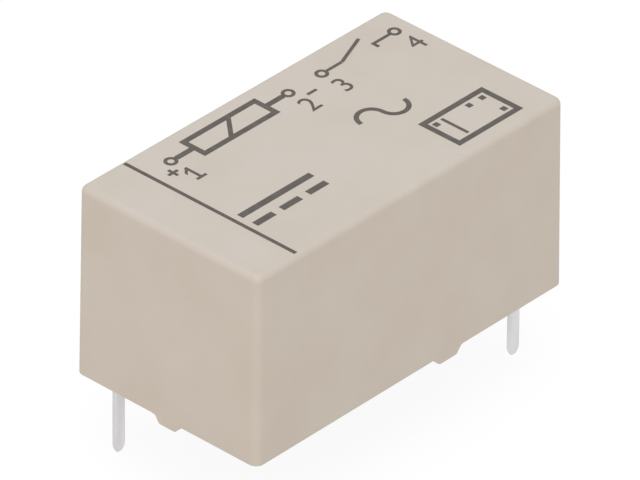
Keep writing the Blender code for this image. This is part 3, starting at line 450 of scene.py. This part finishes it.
def leaning_skin(half_x, half_y, bottom, top, upright, edge):
    """Box open below, walls leaning in with the draft, upright and top edges rounded."""
    skin = bmesh.new()
    bmesh.ops.create_cube(skin, size=2)
    for vert in skin.verts:
        z = top if vert.co.z > 0 else bottom
        lean = DRAFT * (z - RIM_Z)
        vert.co = (vert.co.x * (half_x - lean), vert.co.y * (half_y - lean), z)
    corners = [e for e in skin.edges if abs(e.verts[0].co.z - e.verts[1].co.z) > TINY]
    rounding = {"segments": CORNER_SEGMENTS, "profile": 0.5, "affect": "EDGES", "material": -1}
    bmesh.ops.bevel(skin, geom=corners, offset=upright, **rounding)
    crown = [e for e in skin.edges if min(v.co.z for v in e.verts) > top - TINY]
    bmesh.ops.bevel(skin, geom=crown, offset=edge, **rounding)
    below = [f for f in skin.faces if max(v.co.z for v in f.verts) < bottom + TINY]
    bmesh.ops.delete(skin, geom=below, context="FACES_ONLY")
    return skin


# %% [markdown]
# Bridging tells which way round two loops run by the line from one to the
# other, and two loops at one height give it none. So the inner skin starts a
# little higher, and its rim comes down once it is bridged.

# %% Outer and inner skin, bridged at the rim
WALL = 0.5 * MM
ROOF = 0.6 * MM
UPRIGHT_RADIUS = 0.43 * MM
TOP_RADIUS = 0.34 * MM
INNER_RADIUS = 0.2 * MM
RIM_STEP = 0.05 * MM

shell = leaning_skin(HALF_LENGTH, HALF_WIDTH, RIM_Z, TOP_Z, UPRIGHT_RADIUS, TOP_RADIUS)
lining = leaning_skin(
    HALF_LENGTH - WALL, HALF_WIDTH - WALL, RIM_Z + RIM_STEP, TOP_Z - ROOF, INNER_RADIUS, INNER_RADIUS
)
lining_mesh = bpy.data.meshes.new("lining")
lining.to_mesh(lining_mesh)
lining.free()
shell.from_mesh(lining_mesh)
rims = [edge for edge in shell.edges if edge.is_boundary]
bmesh.ops.bridge_loops(shell, edges=rims)
for vert in shell.verts:
    if vert.co.z < RIM_Z + RIM_STEP + TINY:
        vert.co.z = RIM_Z
rim_faces = [face for face in shell.faces if max(v.co.z for v in face.verts) < RIM_Z + TINY]
rim_area = sum(face.calc_area() for face in rim_faces)
print("shell closed:", closed(shell), "rim:", round(rim_area / MM**2, 2), "mm2")

# %% [markdown]
# ## Feet under the rim
#
# Four small feet hold the rim off the board, so that solder fumes and washing
# water get out. Each is part of the wall: wide where it leaves the rim in a
# hollow curve, then sloping, with a rounded tip. Two cuts through the wall give
# the foot its root, and the piece of rim between them is drawn down in steps.
# Extruding a face leaves the old one inside, so that is deleted each time.

# %% One foot
FOOT_ROOT = 1.0 * MM
# Each step is a depth below the rim and half the foot's width there, in millimetres.
FOOT_CURVE = ((0.02, 0.90), (0.06, 0.84), (0.12, 0.79))
FOOT_TIP = ((0.30, 0.65), (0.36, 0.60), (0.39, 0.54), (0.40, 0.46))
CUT_LIMIT = 0.00001 * MM


def cut_across(shape, place, normal):
    """Cut through a whole shape at a plane, and leave both sides joined."""
    everything = shape.verts[:] + shape.edges[:] + shape.faces[:]
    bmesh.ops.bisect_plane(shape, geom=everything, dist=CUT_LIMIT, plane_co=place, plane_no=normal)


def cut_rim(shape, along, middle):
    """Cut through the shape where a foot's root begins and ends."""
    for side in (-1, 1):
        cut_across(shape, Vector(along) * (middle + side * FOOT_ROOT), along)


def draw_foot(shape, along, outward, middle, share):
    """Draw the rim between two cuts down into a foot, one step at a time."""
    along, outward = Vector(along), Vector(outward)
    reach = abs(outward.x) * HALF_LENGTH + abs(outward.y) * HALF_WIDTH
    tip = [
        face
        for face in shape.faces
        if max(vert.co.z for vert in face.verts) < RIM_Z + TINY
        and abs(face.calc_center_median() @ along - middle) < FOOT_ROOT
        and face.calc_center_median() @ outward > reach - WALL
    ]
    print("foot at", [round(c / MM, 2) for c in tip[0].calc_center_median()], "from", len(tip), "face")
    for depth, half in FOOT_CURVE + FOOT_TIP:
        drawn = bmesh.ops.extrude_face_region(shape, geom=tip)["geom"]
        bmesh.ops.delete(shape, geom=tip, context="FACES_ONLY")
        tip = [item for item in drawn if isinstance(item, bmesh.types.BMFace)]
        for vert in {vert for face in tip for vert in face.verts}:
            offset = vert.co @ along - middle
            vert.co += along * (math.copysign(half * share * MM, offset) - offset)
            vert.co.z = RIM_Z - depth * MM


# %% [markdown]
# The feet at the two ends are narrower, and stand a little off the middle. Both
# ends share one pair of cuts, and so do both sides, because a cut goes right
# through the cover.

# %% Four feet, and the finished cover
SIDE_FOOT_X = 2.42 * MM
END_FOOT_Y = -0.1 * MM
END_FOOT_SHARE = 0.85
FEET = [((0, 1, 0), (side, 0, 0), END_FOOT_Y, END_FOOT_SHARE) for side in (-1, 1)]
FEET += [((1, 0, 0), (0, side, 0), SIDE_FOOT_X, 1.0) for side in (-1, 1)]

for along, middle in (((0, 1, 0), END_FOOT_Y), ((1, 0, 0), SIDE_FOOT_X)):
    cut_rim(shell, along, middle)
for along, outward, middle, share in FEET:
    draw_foot(shell, along, outward, middle, share)
bmesh.ops.recalc_face_normals(shell, faces=shell.faces)
finish_piece("cover_shell", shell, cover_plastic, "root", ["cover"])

# %% [markdown]
# ## The print on top
#
# The real top carries a line across the coil end, which marks that side, and
# printing. Here the printing is a plain connection diagram: a coil, a normally
# open contact, signs for direct and alternating current, and pin numbers. Ink
# lies on the plastic as a skin about a hundredth of a millimetre thick. Each
# stroke is drawn flat with a grid, an inset or a spin, and all strokes are
# then extruded together. Strokes meet edge to edge, so no two faces lie on
# each other.


# %% Straight and slanting strokes
def unit_square(shape, place):
    """Flat square with sides of 1, stretched and moved by a matrix into a stroke."""
    return bmesh.ops.create_grid(shape, x_segments=1, y_segments=1, size=0.5, matrix=place)["verts"]


def bar(shape, start, end, width):
    """Straight stroke between two points, all in millimetres."""
    start, end = Vector((*start, 0)) * MM, Vector((*end, 0)) * MM
    along = end - start
    place = (
        Matrix.Translation((start + end) / 2)
        @ Matrix.Rotation(math.atan2(along.y, along.x), 4, "Z")
        @ Matrix.Diagonal((along.length, width * MM, 1, 1))
    )
    unit_square(shape, place)


def slant(shape, start, end, width, ends="level"):
    """Slanting stroke with its ends cut level or upright, so that it meets another edge to edge."""
    run, rise = (end[0] - start[0]) * MM, (end[1] - start[1]) * MM
    if ends == "level":
        place = Matrix.Diagonal((width * MM, rise, 1, 1))
        place[0][1] = run
    else:
        place = Matrix.Diagonal((run, width * MM, 1, 1))
        place[1][0] = rise
    middle = (Vector((*start, 0)) + Vector((*end, 0))) / 2 * MM
    unit_square(shape, Matrix.Translation(middle) @ place)


# %% [markdown]
# A round stroke is a short edge, from the stroke's inner side to its outer
# one, spun about the centre. A frame is one face, inset by the stroke's width,
# with its middle taken out, so its corners are mitred and it is one piece.

# %% Round strokes and frames
BOW_STEP = 12
FEWEST_STEPS = 8


def bow(shape, centre, radius, width, start=0, sweep=360):
    """Round stroke, in millimetres and degrees."""
    centre = Vector((*centre, 0)) * MM
    angle = math.radians(start)
    ray = Vector((math.cos(angle), math.sin(angle), 0)) * MM
    ends = [shape.verts.new(centre + ray * (radius + side * width / 2)) for side in (-1, 1)]
    edge = shape.edges.new(ends)
    bmesh.ops.spin(
        shape,
        geom=[*ends, edge],
        cent=centre,
        axis=(0, 0, 1),
        angle=math.radians(sweep),
        steps=max(FEWEST_STEPS, round(abs(sweep) / BOW_STEP)),
        use_merge=abs(sweep) == 360,
    )


def box_line(shape, low_x, low_y, high_x, high_y, width):
    """Rectangular frame whose strokes run along the given box, in millimetres."""
    middle = Vector(((low_x + high_x) / 2, (low_y + high_y) / 2, 0)) * MM
    size = ((high_x - low_x + width) * MM, (high_y - low_y + width) * MM, 1, 1)
    corners = unit_square(shape, Matrix.Translation(middle) @ Matrix.Diagonal(size))
    panel = list({face for vert in corners for face in vert.link_faces})
    bmesh.ops.inset_region(shape, faces=panel, thickness=width * MM, use_boundary=True, use_even_offset=True)
    bmesh.ops.delete(shape, geom=panel, context="FACES")


# %% [markdown]
# Flat strokes are welded where their ends meet, then grown by the ink's
# thickness. They start a little below the top, so that no gap shows. The line
# across the coil end is the first of them.

# %% Printing, and the line across the coil end
INK_LIFT = 0.008 * MM
INK_SINK = 0.004 * MM
INK_WELD = 0.0004 * MM
COIL_END_LINE = ((-7.33, -5.16), (-7.33, 5.12))
COIL_END_WIDTH = 0.2


def printed(name, shape):
    """Give flat strokes the ink's thickness and lay them on the cover."""
    bmesh.ops.remove_doubles(shape, verts=shape.verts, dist=INK_WELD)
    for vert in shape.verts:
        vert.co.z = TOP_Z - INK_SINK
    grown = bmesh.ops.extrude_face_region(shape, geom=shape.faces[:])["geom"]
    raised = [item for item in grown if isinstance(item, bmesh.types.BMVert)]
    bmesh.ops.translate(shape, verts=raised, vec=(0, 0, INK_SINK + INK_LIFT))
    bmesh.ops.recalc_face_normals(shape, faces=shape.faces)
    finish_piece(name, shape, ink, "root")


mark = bmesh.new()
bar(mark, *COIL_END_LINE, COIL_END_WIDTH)
printed("coil_end_line", mark)

# %% [markdown]
# The diagram sits where the printing is on the photographed relay, and its
# strokes are about as heavy. The coil is a rectangle with a slanting stroke,
# the contact two circles and a lifted arm. Small circles are the terminals.

# %% Connection diagram
BOLD = 0.3
THIN = 0.17
ROW_Y = 3.75
RING_RADIUS = 0.25
COIL_X = (-4.3, 0.3)
COIL_Y = (3.1, 4.4)
COIL_LEAD = 1.01
COIL_RING = 1.35
COIL_SLANT = (-2.45, -1.55)
CONTACT_X = (4.0, 8.8)
CONTACT_ENDS = (5.3, 7.315)
ARM = ((5.33, ROW_Y), (7.25, 4.5))
HOOK = ((7.4, 3.4), (7.4, 3.66))
RING_EDGE = RING_RADIUS + THIN / 2

diagram = bmesh.new()
box_line(diagram, COIL_X[0], COIL_Y[0], COIL_X[1], COIL_Y[1], BOLD)
slant(diagram, (COIL_SLANT[0], COIL_Y[0] + BOLD / 2), (COIL_SLANT[1], COIL_Y[1] - BOLD / 2), BOLD)
for side, end_x in zip((-1, 1), COIL_X):
    x = end_x + side * BOLD / 2
    bar(diagram, (x, ROW_Y), (x + side * COIL_LEAD, ROW_Y), BOLD)
    bow(diagram, (x + side * COIL_RING, ROW_Y), RING_RADIUS, THIN)
for x in CONTACT_X:
    bow(diagram, (x, ROW_Y), RING_RADIUS, THIN)
bar(diagram, (CONTACT_X[0] + RING_EDGE, ROW_Y), (CONTACT_ENDS[0], ROW_Y), THIN)
bar(diagram, *ARM, THIN)
bar(diagram, (CONTACT_ENDS[1], ROW_Y), (CONTACT_X[1] - RING_EDGE, ROW_Y), THIN)
bar(diagram, *HOOK, THIN)
printed("connection_diagram", diagram)

# %% [markdown]
# Direct current is a line over three dashes, and alternating current a wave
# of two half circles. The coil's plus and minus stand beside its terminals.

# %% Signs for the two currents
HEAVY = 0.36
DIRECT_LINE = ((-6.9, -1.45), (-2.3, -1.45))
DASH = 1.2
DASH_X = (-6.9, -5.2, -3.5)
DASH_Y = -2.35
WAVE_RADIUS = 0.7
WAVE_WIDTH = 0.24
WAVE_PLACE = (3.6, -0.3)
SIGN_WIDTH = 0.16
SIGN_HALF = 0.3
SIGN_Y = 3.05
PLUS_X = -6.4
MINUS_X = 2.6

signs = bmesh.new()
bar(signs, *DIRECT_LINE, HEAVY)
for x in DASH_X:
    bar(signs, (x, DASH_Y), (x + DASH, DASH_Y), HEAVY)
for side in (-1, 1):
    half_wave = (WAVE_PLACE[0] + side * WAVE_RADIUS, WAVE_PLACE[1])
    bow(signs, half_wave, WAVE_RADIUS, WAVE_WIDTH, 180, side * 180)
for x in (PLUS_X, MINUS_X):
    bar(signs, (x - SIGN_HALF, SIGN_Y), (x + SIGN_HALF, SIGN_Y), SIGN_WIDTH)
for side in (-1, 1):
    bar(signs, (PLUS_X, SIGN_Y + side * SIGN_WIDTH / 2), (PLUS_X, SIGN_Y + side * SIGN_HALF), SIGN_WIDTH)
printed("current_signs", signs)

# %% [markdown]
# Near the contact end a framed plan shows where the four pins stand, with the
# line at the coil end repeated, so that the relay can't be fitted the wrong
# way round. Each pin's place is read from its terminal's node: the middle of
# the points that lie below the board's level.

# %% Pin plan
PLAN_BOX = (4.05, -4.5, 7.95, -2.3)
PLAN_LINE = ((4.95, -4.2), (4.95, -2.6))
PLAN_MIDDLE = Vector((6.0, -3.4))
PLAN_SCALE = 0.17
PLAN_PIN = 0.3
PINS = ("coil_terminal_positive", "coil_terminal_negative", "spring_terminal", "fixed_contact_terminal")

plan = bmesh.new()
box_line(plan, *PLAN_BOX, BOLD)
bar(plan, *PLAN_LINE, THIN)
for node in PINS:
    pin_tip = [vert.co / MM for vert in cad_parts[node].data.vertices if vert.co.z < BOARD_Z]
    pin_place = Vector([(min(c) + max(c)) / 2 for c in zip(*pin_tip)][:2])
    spot = PLAN_MIDDLE + pin_place * PLAN_SCALE
    bar(plan, (spot.x - PLAN_PIN / 2, spot.y), (spot.x + PLAN_PIN / 2, spot.y), PLAN_PIN)
    print(f"{node} at {pin_place.x:.2f}, {pin_place.y:.2f} mm")
printed("pin_plan", plan)

# %% [markdown]
# The pin numbers are plain figures. A text object becomes a mesh first, and
# only then moves to its place. The font's 1 is a bare upright, so that figure
# is drawn with strokes and gets a flag and a foot.

# %% Pin numbers
FIGURE_LOW = 1.855
FIGURE_HIGH = 2.945
FIGURE_STROKE = 0.155
FONT_HEIGHT = 0.691
ONE_X = -5.75
ONE_FOOT_HALF = 0.3
FLAG_REACH = 0.34
FLAG_DROPS = (0.4, 0.15)
FLAG_STROKE = 0.19


def add_figure(shape, text, x):
    """Add a figure of the built-in font to a flat mesh, centred on a place along the relay."""
    curve = bpy.data.curves.new("figure", "FONT")
    curve.body = text
    curve.size = 1.0
    curve.align_x = "CENTER"
    curve.align_y = "CENTER"
    carrier = bpy.data.objects.new("figure", curve)
    bpy.context.scene.collection.objects.link(carrier)
    mesh = bpy.data.meshes.new_from_object(carrier)
    bpy.data.objects.remove(carrier)
    scale = (FIGURE_HIGH - FIGURE_LOW) * MM / FONT_HEIGHT
    place = Vector((x, (FIGURE_LOW + FIGURE_HIGH) / 2, 0)) * MM
    mesh.transform(Matrix.Translation(place) @ Matrix.Scale(scale, 4))
    shape.from_mesh(mesh)
    bpy.data.meshes.remove(mesh)


def add_one(shape, x):
    """Add a figure 1 of three strokes: foot, upright and flag."""
    foot_y = FIGURE_LOW + FIGURE_STROKE / 2
    bar(shape, (x - ONE_FOOT_HALF, foot_y), (x + ONE_FOOT_HALF, foot_y), FIGURE_STROKE)
    bar(shape, (x, FIGURE_LOW + FIGURE_STROKE), (x, FIGURE_HIGH), FIGURE_STROKE)
    flag_start = (x - FLAG_REACH, FIGURE_HIGH - FLAG_DROPS[0])
    flag_end = (x - FIGURE_STROKE / 2, FIGURE_HIGH - FLAG_DROPS[1])
    slant(shape, flag_start, flag_end, FLAG_STROKE, "upright")


figures = bmesh.new()
add_one(figures, ONE_X)
for text, x in (("2", 1.8), ("3", 4.0), ("4", 8.8)):
    add_figure(figures, text, x)
printed("pin_numbers", figures)

# %% [markdown]
# ## Pins and terminals
#
# The terminals are stamped strips with a coined tip. The CAD nodes have their
# exact shape, so each is copied, its edges are rounded by a few hundredths of
# a millimetre as stamping and tinning leave them, and it is tinned.

# %% Terminals
for node in PINS:
    rounded_copy(f"{node}_tinned", node, tin, 0.02)

# %% [markdown]
# ## Base and moulded inner pieces
#
# These are moulded, and their shapes come from the frame as well. Moulded
# edges are rounder than stamped ones.

# %% Moulded pieces
rounded_copy("base_moulding", "base", base_plastic, 0.04)
rounded_copy("coil_former", "bobbin", former_plastic, 0.04)
rounded_copy("armature_cradle", "armature_carrier", base_plastic, 0.03, "armature")
rounded_copy("lifting_card", "actuator_card", card_plastic, 0.03, "armature")

# %% [markdown]
# ## The sealing resin
#
# The underside is sealed with epoxy, which is poured thin. While it is liquid
# it creeps up the cover's wall and up the pins, and so it sets with a hollow
# curved edge all round, a meniscus. The frame's solid has a flat face. In the
# copy that face is inset twice, which makes two narrow borders, and its outer
# points are moved towards the rim.

# %% Poured epoxy with its creeping edge
BORDERS = (0.12 * MM, 0.05 * MM)
CREEP = 0.06 * MM
WALL_REACH = Vector((0.3, 0.2)) * MM
SMALLEST_POOL = 5 * MM**2
DOWN = -0.99

low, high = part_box("sealing_resin")
seal = node_shape("sealing_resin")
facing_down = [face for face in seal.faces if face.normal.z < DOWN]
pool_z = min(face.calc_center_median().z for face in facing_down if face.calc_area() > SMALLEST_POOL)
pool = [face for face in facing_down if abs(face.calc_center_median().z - pool_z) < TINY]
wall_side = {
    vert
    for face in pool
    for vert in face.verts
    if abs(vert.co.x) > high.x - WALL_REACH.x or abs(vert.co.y) > high.y - WALL_REACH.y
}
for border in BORDERS:
    bmesh.ops.inset_region(seal, faces=pool, thickness=border, use_boundary=True, use_even_offset=True)
for vert in wall_side:
    if vert.is_valid and abs(vert.co.z - pool_z) < TINY:
        vert.co.z -= CREEP
bmesh.ops.recalc_face_normals(seal, faces=seal.faces)
print("resin's flat face at", round(pool_z / MM, 2), "mm")
finish_piece("epoxy_seal", seal, epoxy, "root", ["sealing_resin"])

# %% [markdown]
# ## Magnetic circuit
#
# Core and armature are cut from iron strip, so they keep crisp edges. The
# magnet is ground on its flat faces.

# %% Core, armature, magnet and shim
rounded_copy("bent_core", "iron_core", iron, 0.05)
rounded_copy("rocking_armature", "armature", iron, 0.04, "armature")
rounded_copy("ground_magnet", "permanent_magnet", ferrite, 0.03)
rounded_copy("brass_shim", "residual_shim", brass, 0.01, "armature")

# %% [markdown]
# ## The winding
#
# The coil is wound with enamelled wire, turn beside turn, and its outer layer
# is drawn here as wire of 0.1 mm. Each turn is a ridge right round the former,
# so the winding is one skin: a rounded rectangle of edges is extruded along
# the coil in half turns, a little in and a little out. At the far end the same
# loop steps in to the former, runs back through the middle and meets its
# start, which closes the piece. A real sweep of one wire would cost ten times
# the faces, and nearly all of it lies under the tape.

# %% Rounded loops drawn along the coil
LOOP_SEGMENTS = 8


def rounded_loop(shape, x, half_y, half_z, corner, middle_z):
    """Rounded rectangle of edges that stands across the relay at one place along it."""
    sides = ((-1, -1), (1, -1), (1, 1), (-1, 1))
    verts = [shape.verts.new((x, side_y * half_y, middle_z + side_z * half_z)) for side_y, side_z in sides]
    for place in range(len(verts)):
        shape.edges.new((verts[place - 1], verts[place]))
    bmesh.ops.bevel(
        shape,
        geom=verts,
        offset=corner,
        segments=LOOP_SEGMENTS,
        profile=0.5,
        affect="VERTICES",
        material=-1,
    )
    return [edge for edge in shape.edges if edge.is_wire]


def draw_ring(shape, ring, place):
    """Extrude a loop of edges once and send each new point where place() says."""
    drawn = bmesh.ops.extrude_edge_only(shape, edges=ring)["geom"]
    for vert in drawn:
        if isinstance(vert, bmesh.types.BMVert):
            vert.co = place(vert.co)
    return [edge for edge in drawn if isinstance(edge, bmesh.types.BMEdge)]


# %% [markdown]
# The ridges reach the frame's box, and the valleys between them lie 0.03 mm
# deeper. Every step keeps the loop's shape and scales it about the coil's axis:
# out to a ridge, in to a valley, and at the end in to the former's tube.

# %% Winding
WIRE_PITCH = 0.1 * MM
GROOVE = 0.03 * MM
WINDING_CORNER = 1.1 * MM
TUBE_HALF_Y = 1.99 * MM
TUBE_HALF_Z = 0.94 * MM

low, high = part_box("coil_winding")
coil_z = (low.z + high.z) / 2
ridge_y, ridge_z = high.y, (high.z - low.z) / 2
valley_y, valley_z = ridge_y - GROOVE, ridge_z - GROOVE


def scaled_about_coil(x, share_y, share_z):
    """Rule that moves a loop to a place along the coil and scales it about the coil's axis."""
    return lambda co: Vector((x, co.y * share_y, coil_z + (co.z - coil_z) * share_z))


half_turns = 2 * round((high.x - low.x) / WIRE_PITCH)
turns = bmesh.new()
ring = rounded_loop(turns, low.x, valley_y, valley_z, WINDING_CORNER, coil_z)
for step in range(1, half_turns + 1):
    x = low.x + (high.x - low.x) * step / half_turns
    if step % 2 == 1:
        ring = draw_ring(turns, ring, scaled_about_coil(x, ridge_y / valley_y, ridge_z / valley_z))
    else:
        ring = draw_ring(turns, ring, scaled_about_coil(x, valley_y / ridge_y, valley_z / ridge_z))
ring = draw_ring(turns, ring, scaled_about_coil(high.x, TUBE_HALF_Y / valley_y, TUBE_HALF_Z / valley_z))
ring = draw_ring(turns, ring, scaled_about_coil(low.x, 1, 1))
draw_ring(turns, ring, scaled_about_coil(low.x, valley_y / TUBE_HALF_Y, valley_z / TUBE_HALF_Z))
bmesh.ops.remove_doubles(turns, verts=turns.verts, dist=WELD)
bmesh.ops.recalc_face_normals(turns, faces=turns.faces)
print("turns:", half_turns // 2)
finish_piece("wound_wire", turns, wire, "root", ["coil_winding"])

# %% [markdown]
# Polyester tape is wrapped once round the coil. Its loose end laps over the
# start by a few millimetres, which shows as a step. That lap is cut out of one
# more rounded loop, extruded over the tape's width and given its thickness.

# %% Tape and its lapped end
LAP_LIFT = 0.01 * MM
LAP_THICKNESS = 0.05 * MM
TAPE_CORNER = 1.25 * MM

rounded_copy("tape_wrap", "coil_tape", tape_film, 0.0)
low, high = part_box("coil_tape")
lap = bmesh.new()
rounded_loop(lap, low.x, high.y + LAP_LIFT, (high.z - low.z) / 2 + LAP_LIFT, TAPE_CORNER, coil_z)
far = [vert for vert in lap.verts if vert.co.y < 0 or vert.co.z < coil_z]
bmesh.ops.delete(lap, geom=far, context="VERTS")
draw_ring(lap, lap.edges[:], lambda co: Vector((high.x, co.y, co.z)))
bmesh.ops.recalc_face_normals(lap, faces=lap.faces)
if sum(face.calc_center_median().y * face.normal.y for face in lap.faces) < 0:
    bmesh.ops.reverse_faces(lap, faces=lap.faces)
bmesh.ops.solidify(lap, geom=lap.faces[:], thickness=-LAP_THICKNESS)
bmesh.ops.recalc_face_normals(lap, faces=lap.faces)
finish_piece("tape_lap", lap, tape_film, "root")

# %% [markdown]
# ## Wire ends and solder
#
# Each end of the wire leaves the winding through a notch in the flange, goes
# round the terminal's post and is soldered there. The wire keeps the frame's
# route and is shaded round. The solder is a small drop: a sphere drawn to the
# joint's size, narrower below, where it wets the post and runs down.

# %% Wire ends and solder beads
ROUND_SHARP = math.radians(75)
BEAD_TAPER = 0.35


def wire_end(name, node):
    """Welded copy of a wire end that is shaded round instead of bevelled."""
    shape = node_shape(node, join_flat=False)
    bmesh.ops.recalc_face_normals(shape, faces=shape.faces)
    piece = finish_piece(name, shape, wire, "root", [node])
    piece.data.set_sharp_from_angle(angle=ROUND_SHARP)


def solder_bead(name, node):
    """Drop of solder that fills the node's box, narrower towards the bottom."""
    low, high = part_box(node)
    middle, half = (low + high) / 2, (high - low) / 2
    shape = bmesh.new()
    bmesh.ops.create_icosphere(shape, subdivisions=4, radius=1.0)
    for vert in shape.verts:
        below = min(vert.co.z, 0.0)
        pull = 1.0 - BEAD_TAPER * below * below
        vert.co = middle + Vector((vert.co.x * pull * half.x, vert.co.y * pull * half.y, vert.co.z * half.z))
    finish_piece(name, shape, solder, "root", [node])


for pole in ("positive", "negative"):
    wire_end(f"wire_end_{pole}", f"coil_lead_{pole}")
    solder_bead(f"solder_bead_{pole}", f"coil_joint_{pole}")

# %% [markdown]
# ## The contact leaf
#
# The leaf is one strip of spring alloy, riveted to its terminal at one end and
# lifted by the card near the other. The frame has it as two nodes, a clamped
# end and a moving arm, with a slit of 0.02 mm between them, because rigid
# bodies can't bend. Here both go into one mesh and the slit is closed. The
# strip is cut across every tenth of a millimetre for 1.4 mm from the clamp,
# where the real leaf bends.

# %% One strip, cut across near the clamp
LEAF_NODES = ("spring_root", "contact_spring")
BEND_LENGTH = 1.4 * MM
STATIONS = 14

root_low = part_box("spring_root")[0]
arm_low, arm_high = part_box("contact_spring")
clamp_y = (root_low.y + arm_high.y) / 2
leaf = bmesh.new()
for node in LEAF_NODES:
    leaf.from_mesh(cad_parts[node].data)
for vert in leaf.verts:
    if arm_high.y - TINY < vert.co.y < root_low.y + TINY:
        vert.co.y = clamp_y
bmesh.ops.remove_doubles(leaf, verts=leaf.verts, dist=WELD)
inner = [face for face in leaf.faces if all(abs(vert.co.y - clamp_y) < TINY for vert in face.verts)]
bmesh.ops.delete(leaf, geom=inner, context="FACES")
bmesh.ops.dissolve_limit(leaf, angle_limit=FLAT, verts=leaf.verts, edges=leaf.edges)
for step in range(STATIONS + 1):
    cut_across(leaf, Vector((0, clamp_y - BEND_LENGTH * step / STATIONS, 0)), (0, 1, 0))
bmesh.ops.recalc_face_normals(leaf, faces=leaf.faces)
print("inner faces taken out of the leaf:", len(inner))
strip = finish_piece("bending_leaf", leaf, alloy, None, LEAF_NODES)
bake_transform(strip)

# %% [markdown]
# ## Rivets and contacts
#
# Contact rivets are headed on a machine from silver alloy wire, and turned
# pieces like these come from half an outline: a chain of edges from the axis
# out and back to it. Its corners are rounded first, one by one, and then it is
# spun once round.

# %% Spun pieces
TURN_STEPS = 48
ROUNDING_SEGMENTS = 4


def turned(name, node, outline, body="root"):
    """Spin an outline of (radius, height, rounding) in mm about the middle of a node's box."""
    low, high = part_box(node)
    middle = Vector(((low.x + high.x) / 2, (low.y + high.y) / 2, low.z))
    shape = bmesh.new()
    verts = [shape.verts.new(middle + Vector((radius, 0, height)) * MM) for radius, height, _ in outline]
    for pair in zip(verts, verts[1:]):
        shape.edges.new(pair)
    for vert, (_, _, rounding) in zip(verts, outline):
        if rounding:
            bmesh.ops.bevel(
                shape,
                geom=[vert],
                offset=rounding * MM,
                segments=ROUNDING_SEGMENTS,
                profile=0.5,
                affect="VERTICES",
                material=-1,
            )
    bmesh.ops.spin(
        shape,
        geom=shape.verts[:] + shape.edges[:],
        cent=middle,
        axis=(0, 0, 1),
        angle=2 * math.pi,
        steps=TURN_STEPS,
        use_merge=True,
    )
    bmesh.ops.remove_doubles(shape, verts=shape.verts, dist=WELD)
    bmesh.ops.recalc_face_normals(shape, faces=shape.faces)
    finish_piece(name, shape, silver, body, [node])


# %% [markdown]
# All three have the same shank and the same low upset head that holds them.
# The moving contact has a domed face, the fixed one a flat face, and the
# leaf's rivet a head at each end.

# %% Contacts and rivet
SHANK = 0.25
HEAD = 0.4
HEAD_HEIGHT = 0.14
HEAD_ROUNDING = 0.1
FACE = 0.75


def tall(node):
    """Height of a node's box in millimetres."""
    low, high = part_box(node)
    return (high.z - low.z) / MM


def upper_head(height):
    """Outline of an upset head that ends at a height, from the shank out and in to the axis."""
    return [(SHANK, height - HEAD_HEIGHT, 0), (HEAD, height - HEAD_HEIGHT, 0), (HEAD, height, HEAD_ROUNDING)]


LOWER_HEAD = [(0, 0, 0), (HEAD, 0, HEAD_ROUNDING), (HEAD, HEAD_HEIGHT, 0), (SHANK, HEAD_HEIGHT, 0)]
FLAT_FACE = [(0, 0, 0), (FACE, 0, 0.04), (FACE, 0.2, 0.03), (SHANK, 0.2, 0)]

height = tall("moving_contact")
outline = LOWER_HEAD + [(SHANK, 0.28, 0), (FACE, 0.28, 0.03), (FACE, height - 0.11, 0.04)]
outline += [(0.5, height - 0.05, 0), (0.25, height - 0.012, 0), (0, height, 0)]
turned("domed_contact", "moving_contact", outline, "contact_arm")
height = tall("fixed_contact")
turned("flat_contact", "fixed_contact", FLAT_FACE + upper_head(height) + [(0, height, 0)])
height = tall("spring_rivet")
turned("leaf_rivet", "spring_rivet", LOWER_HEAD + upper_head(height) + [(0, height, 0)])
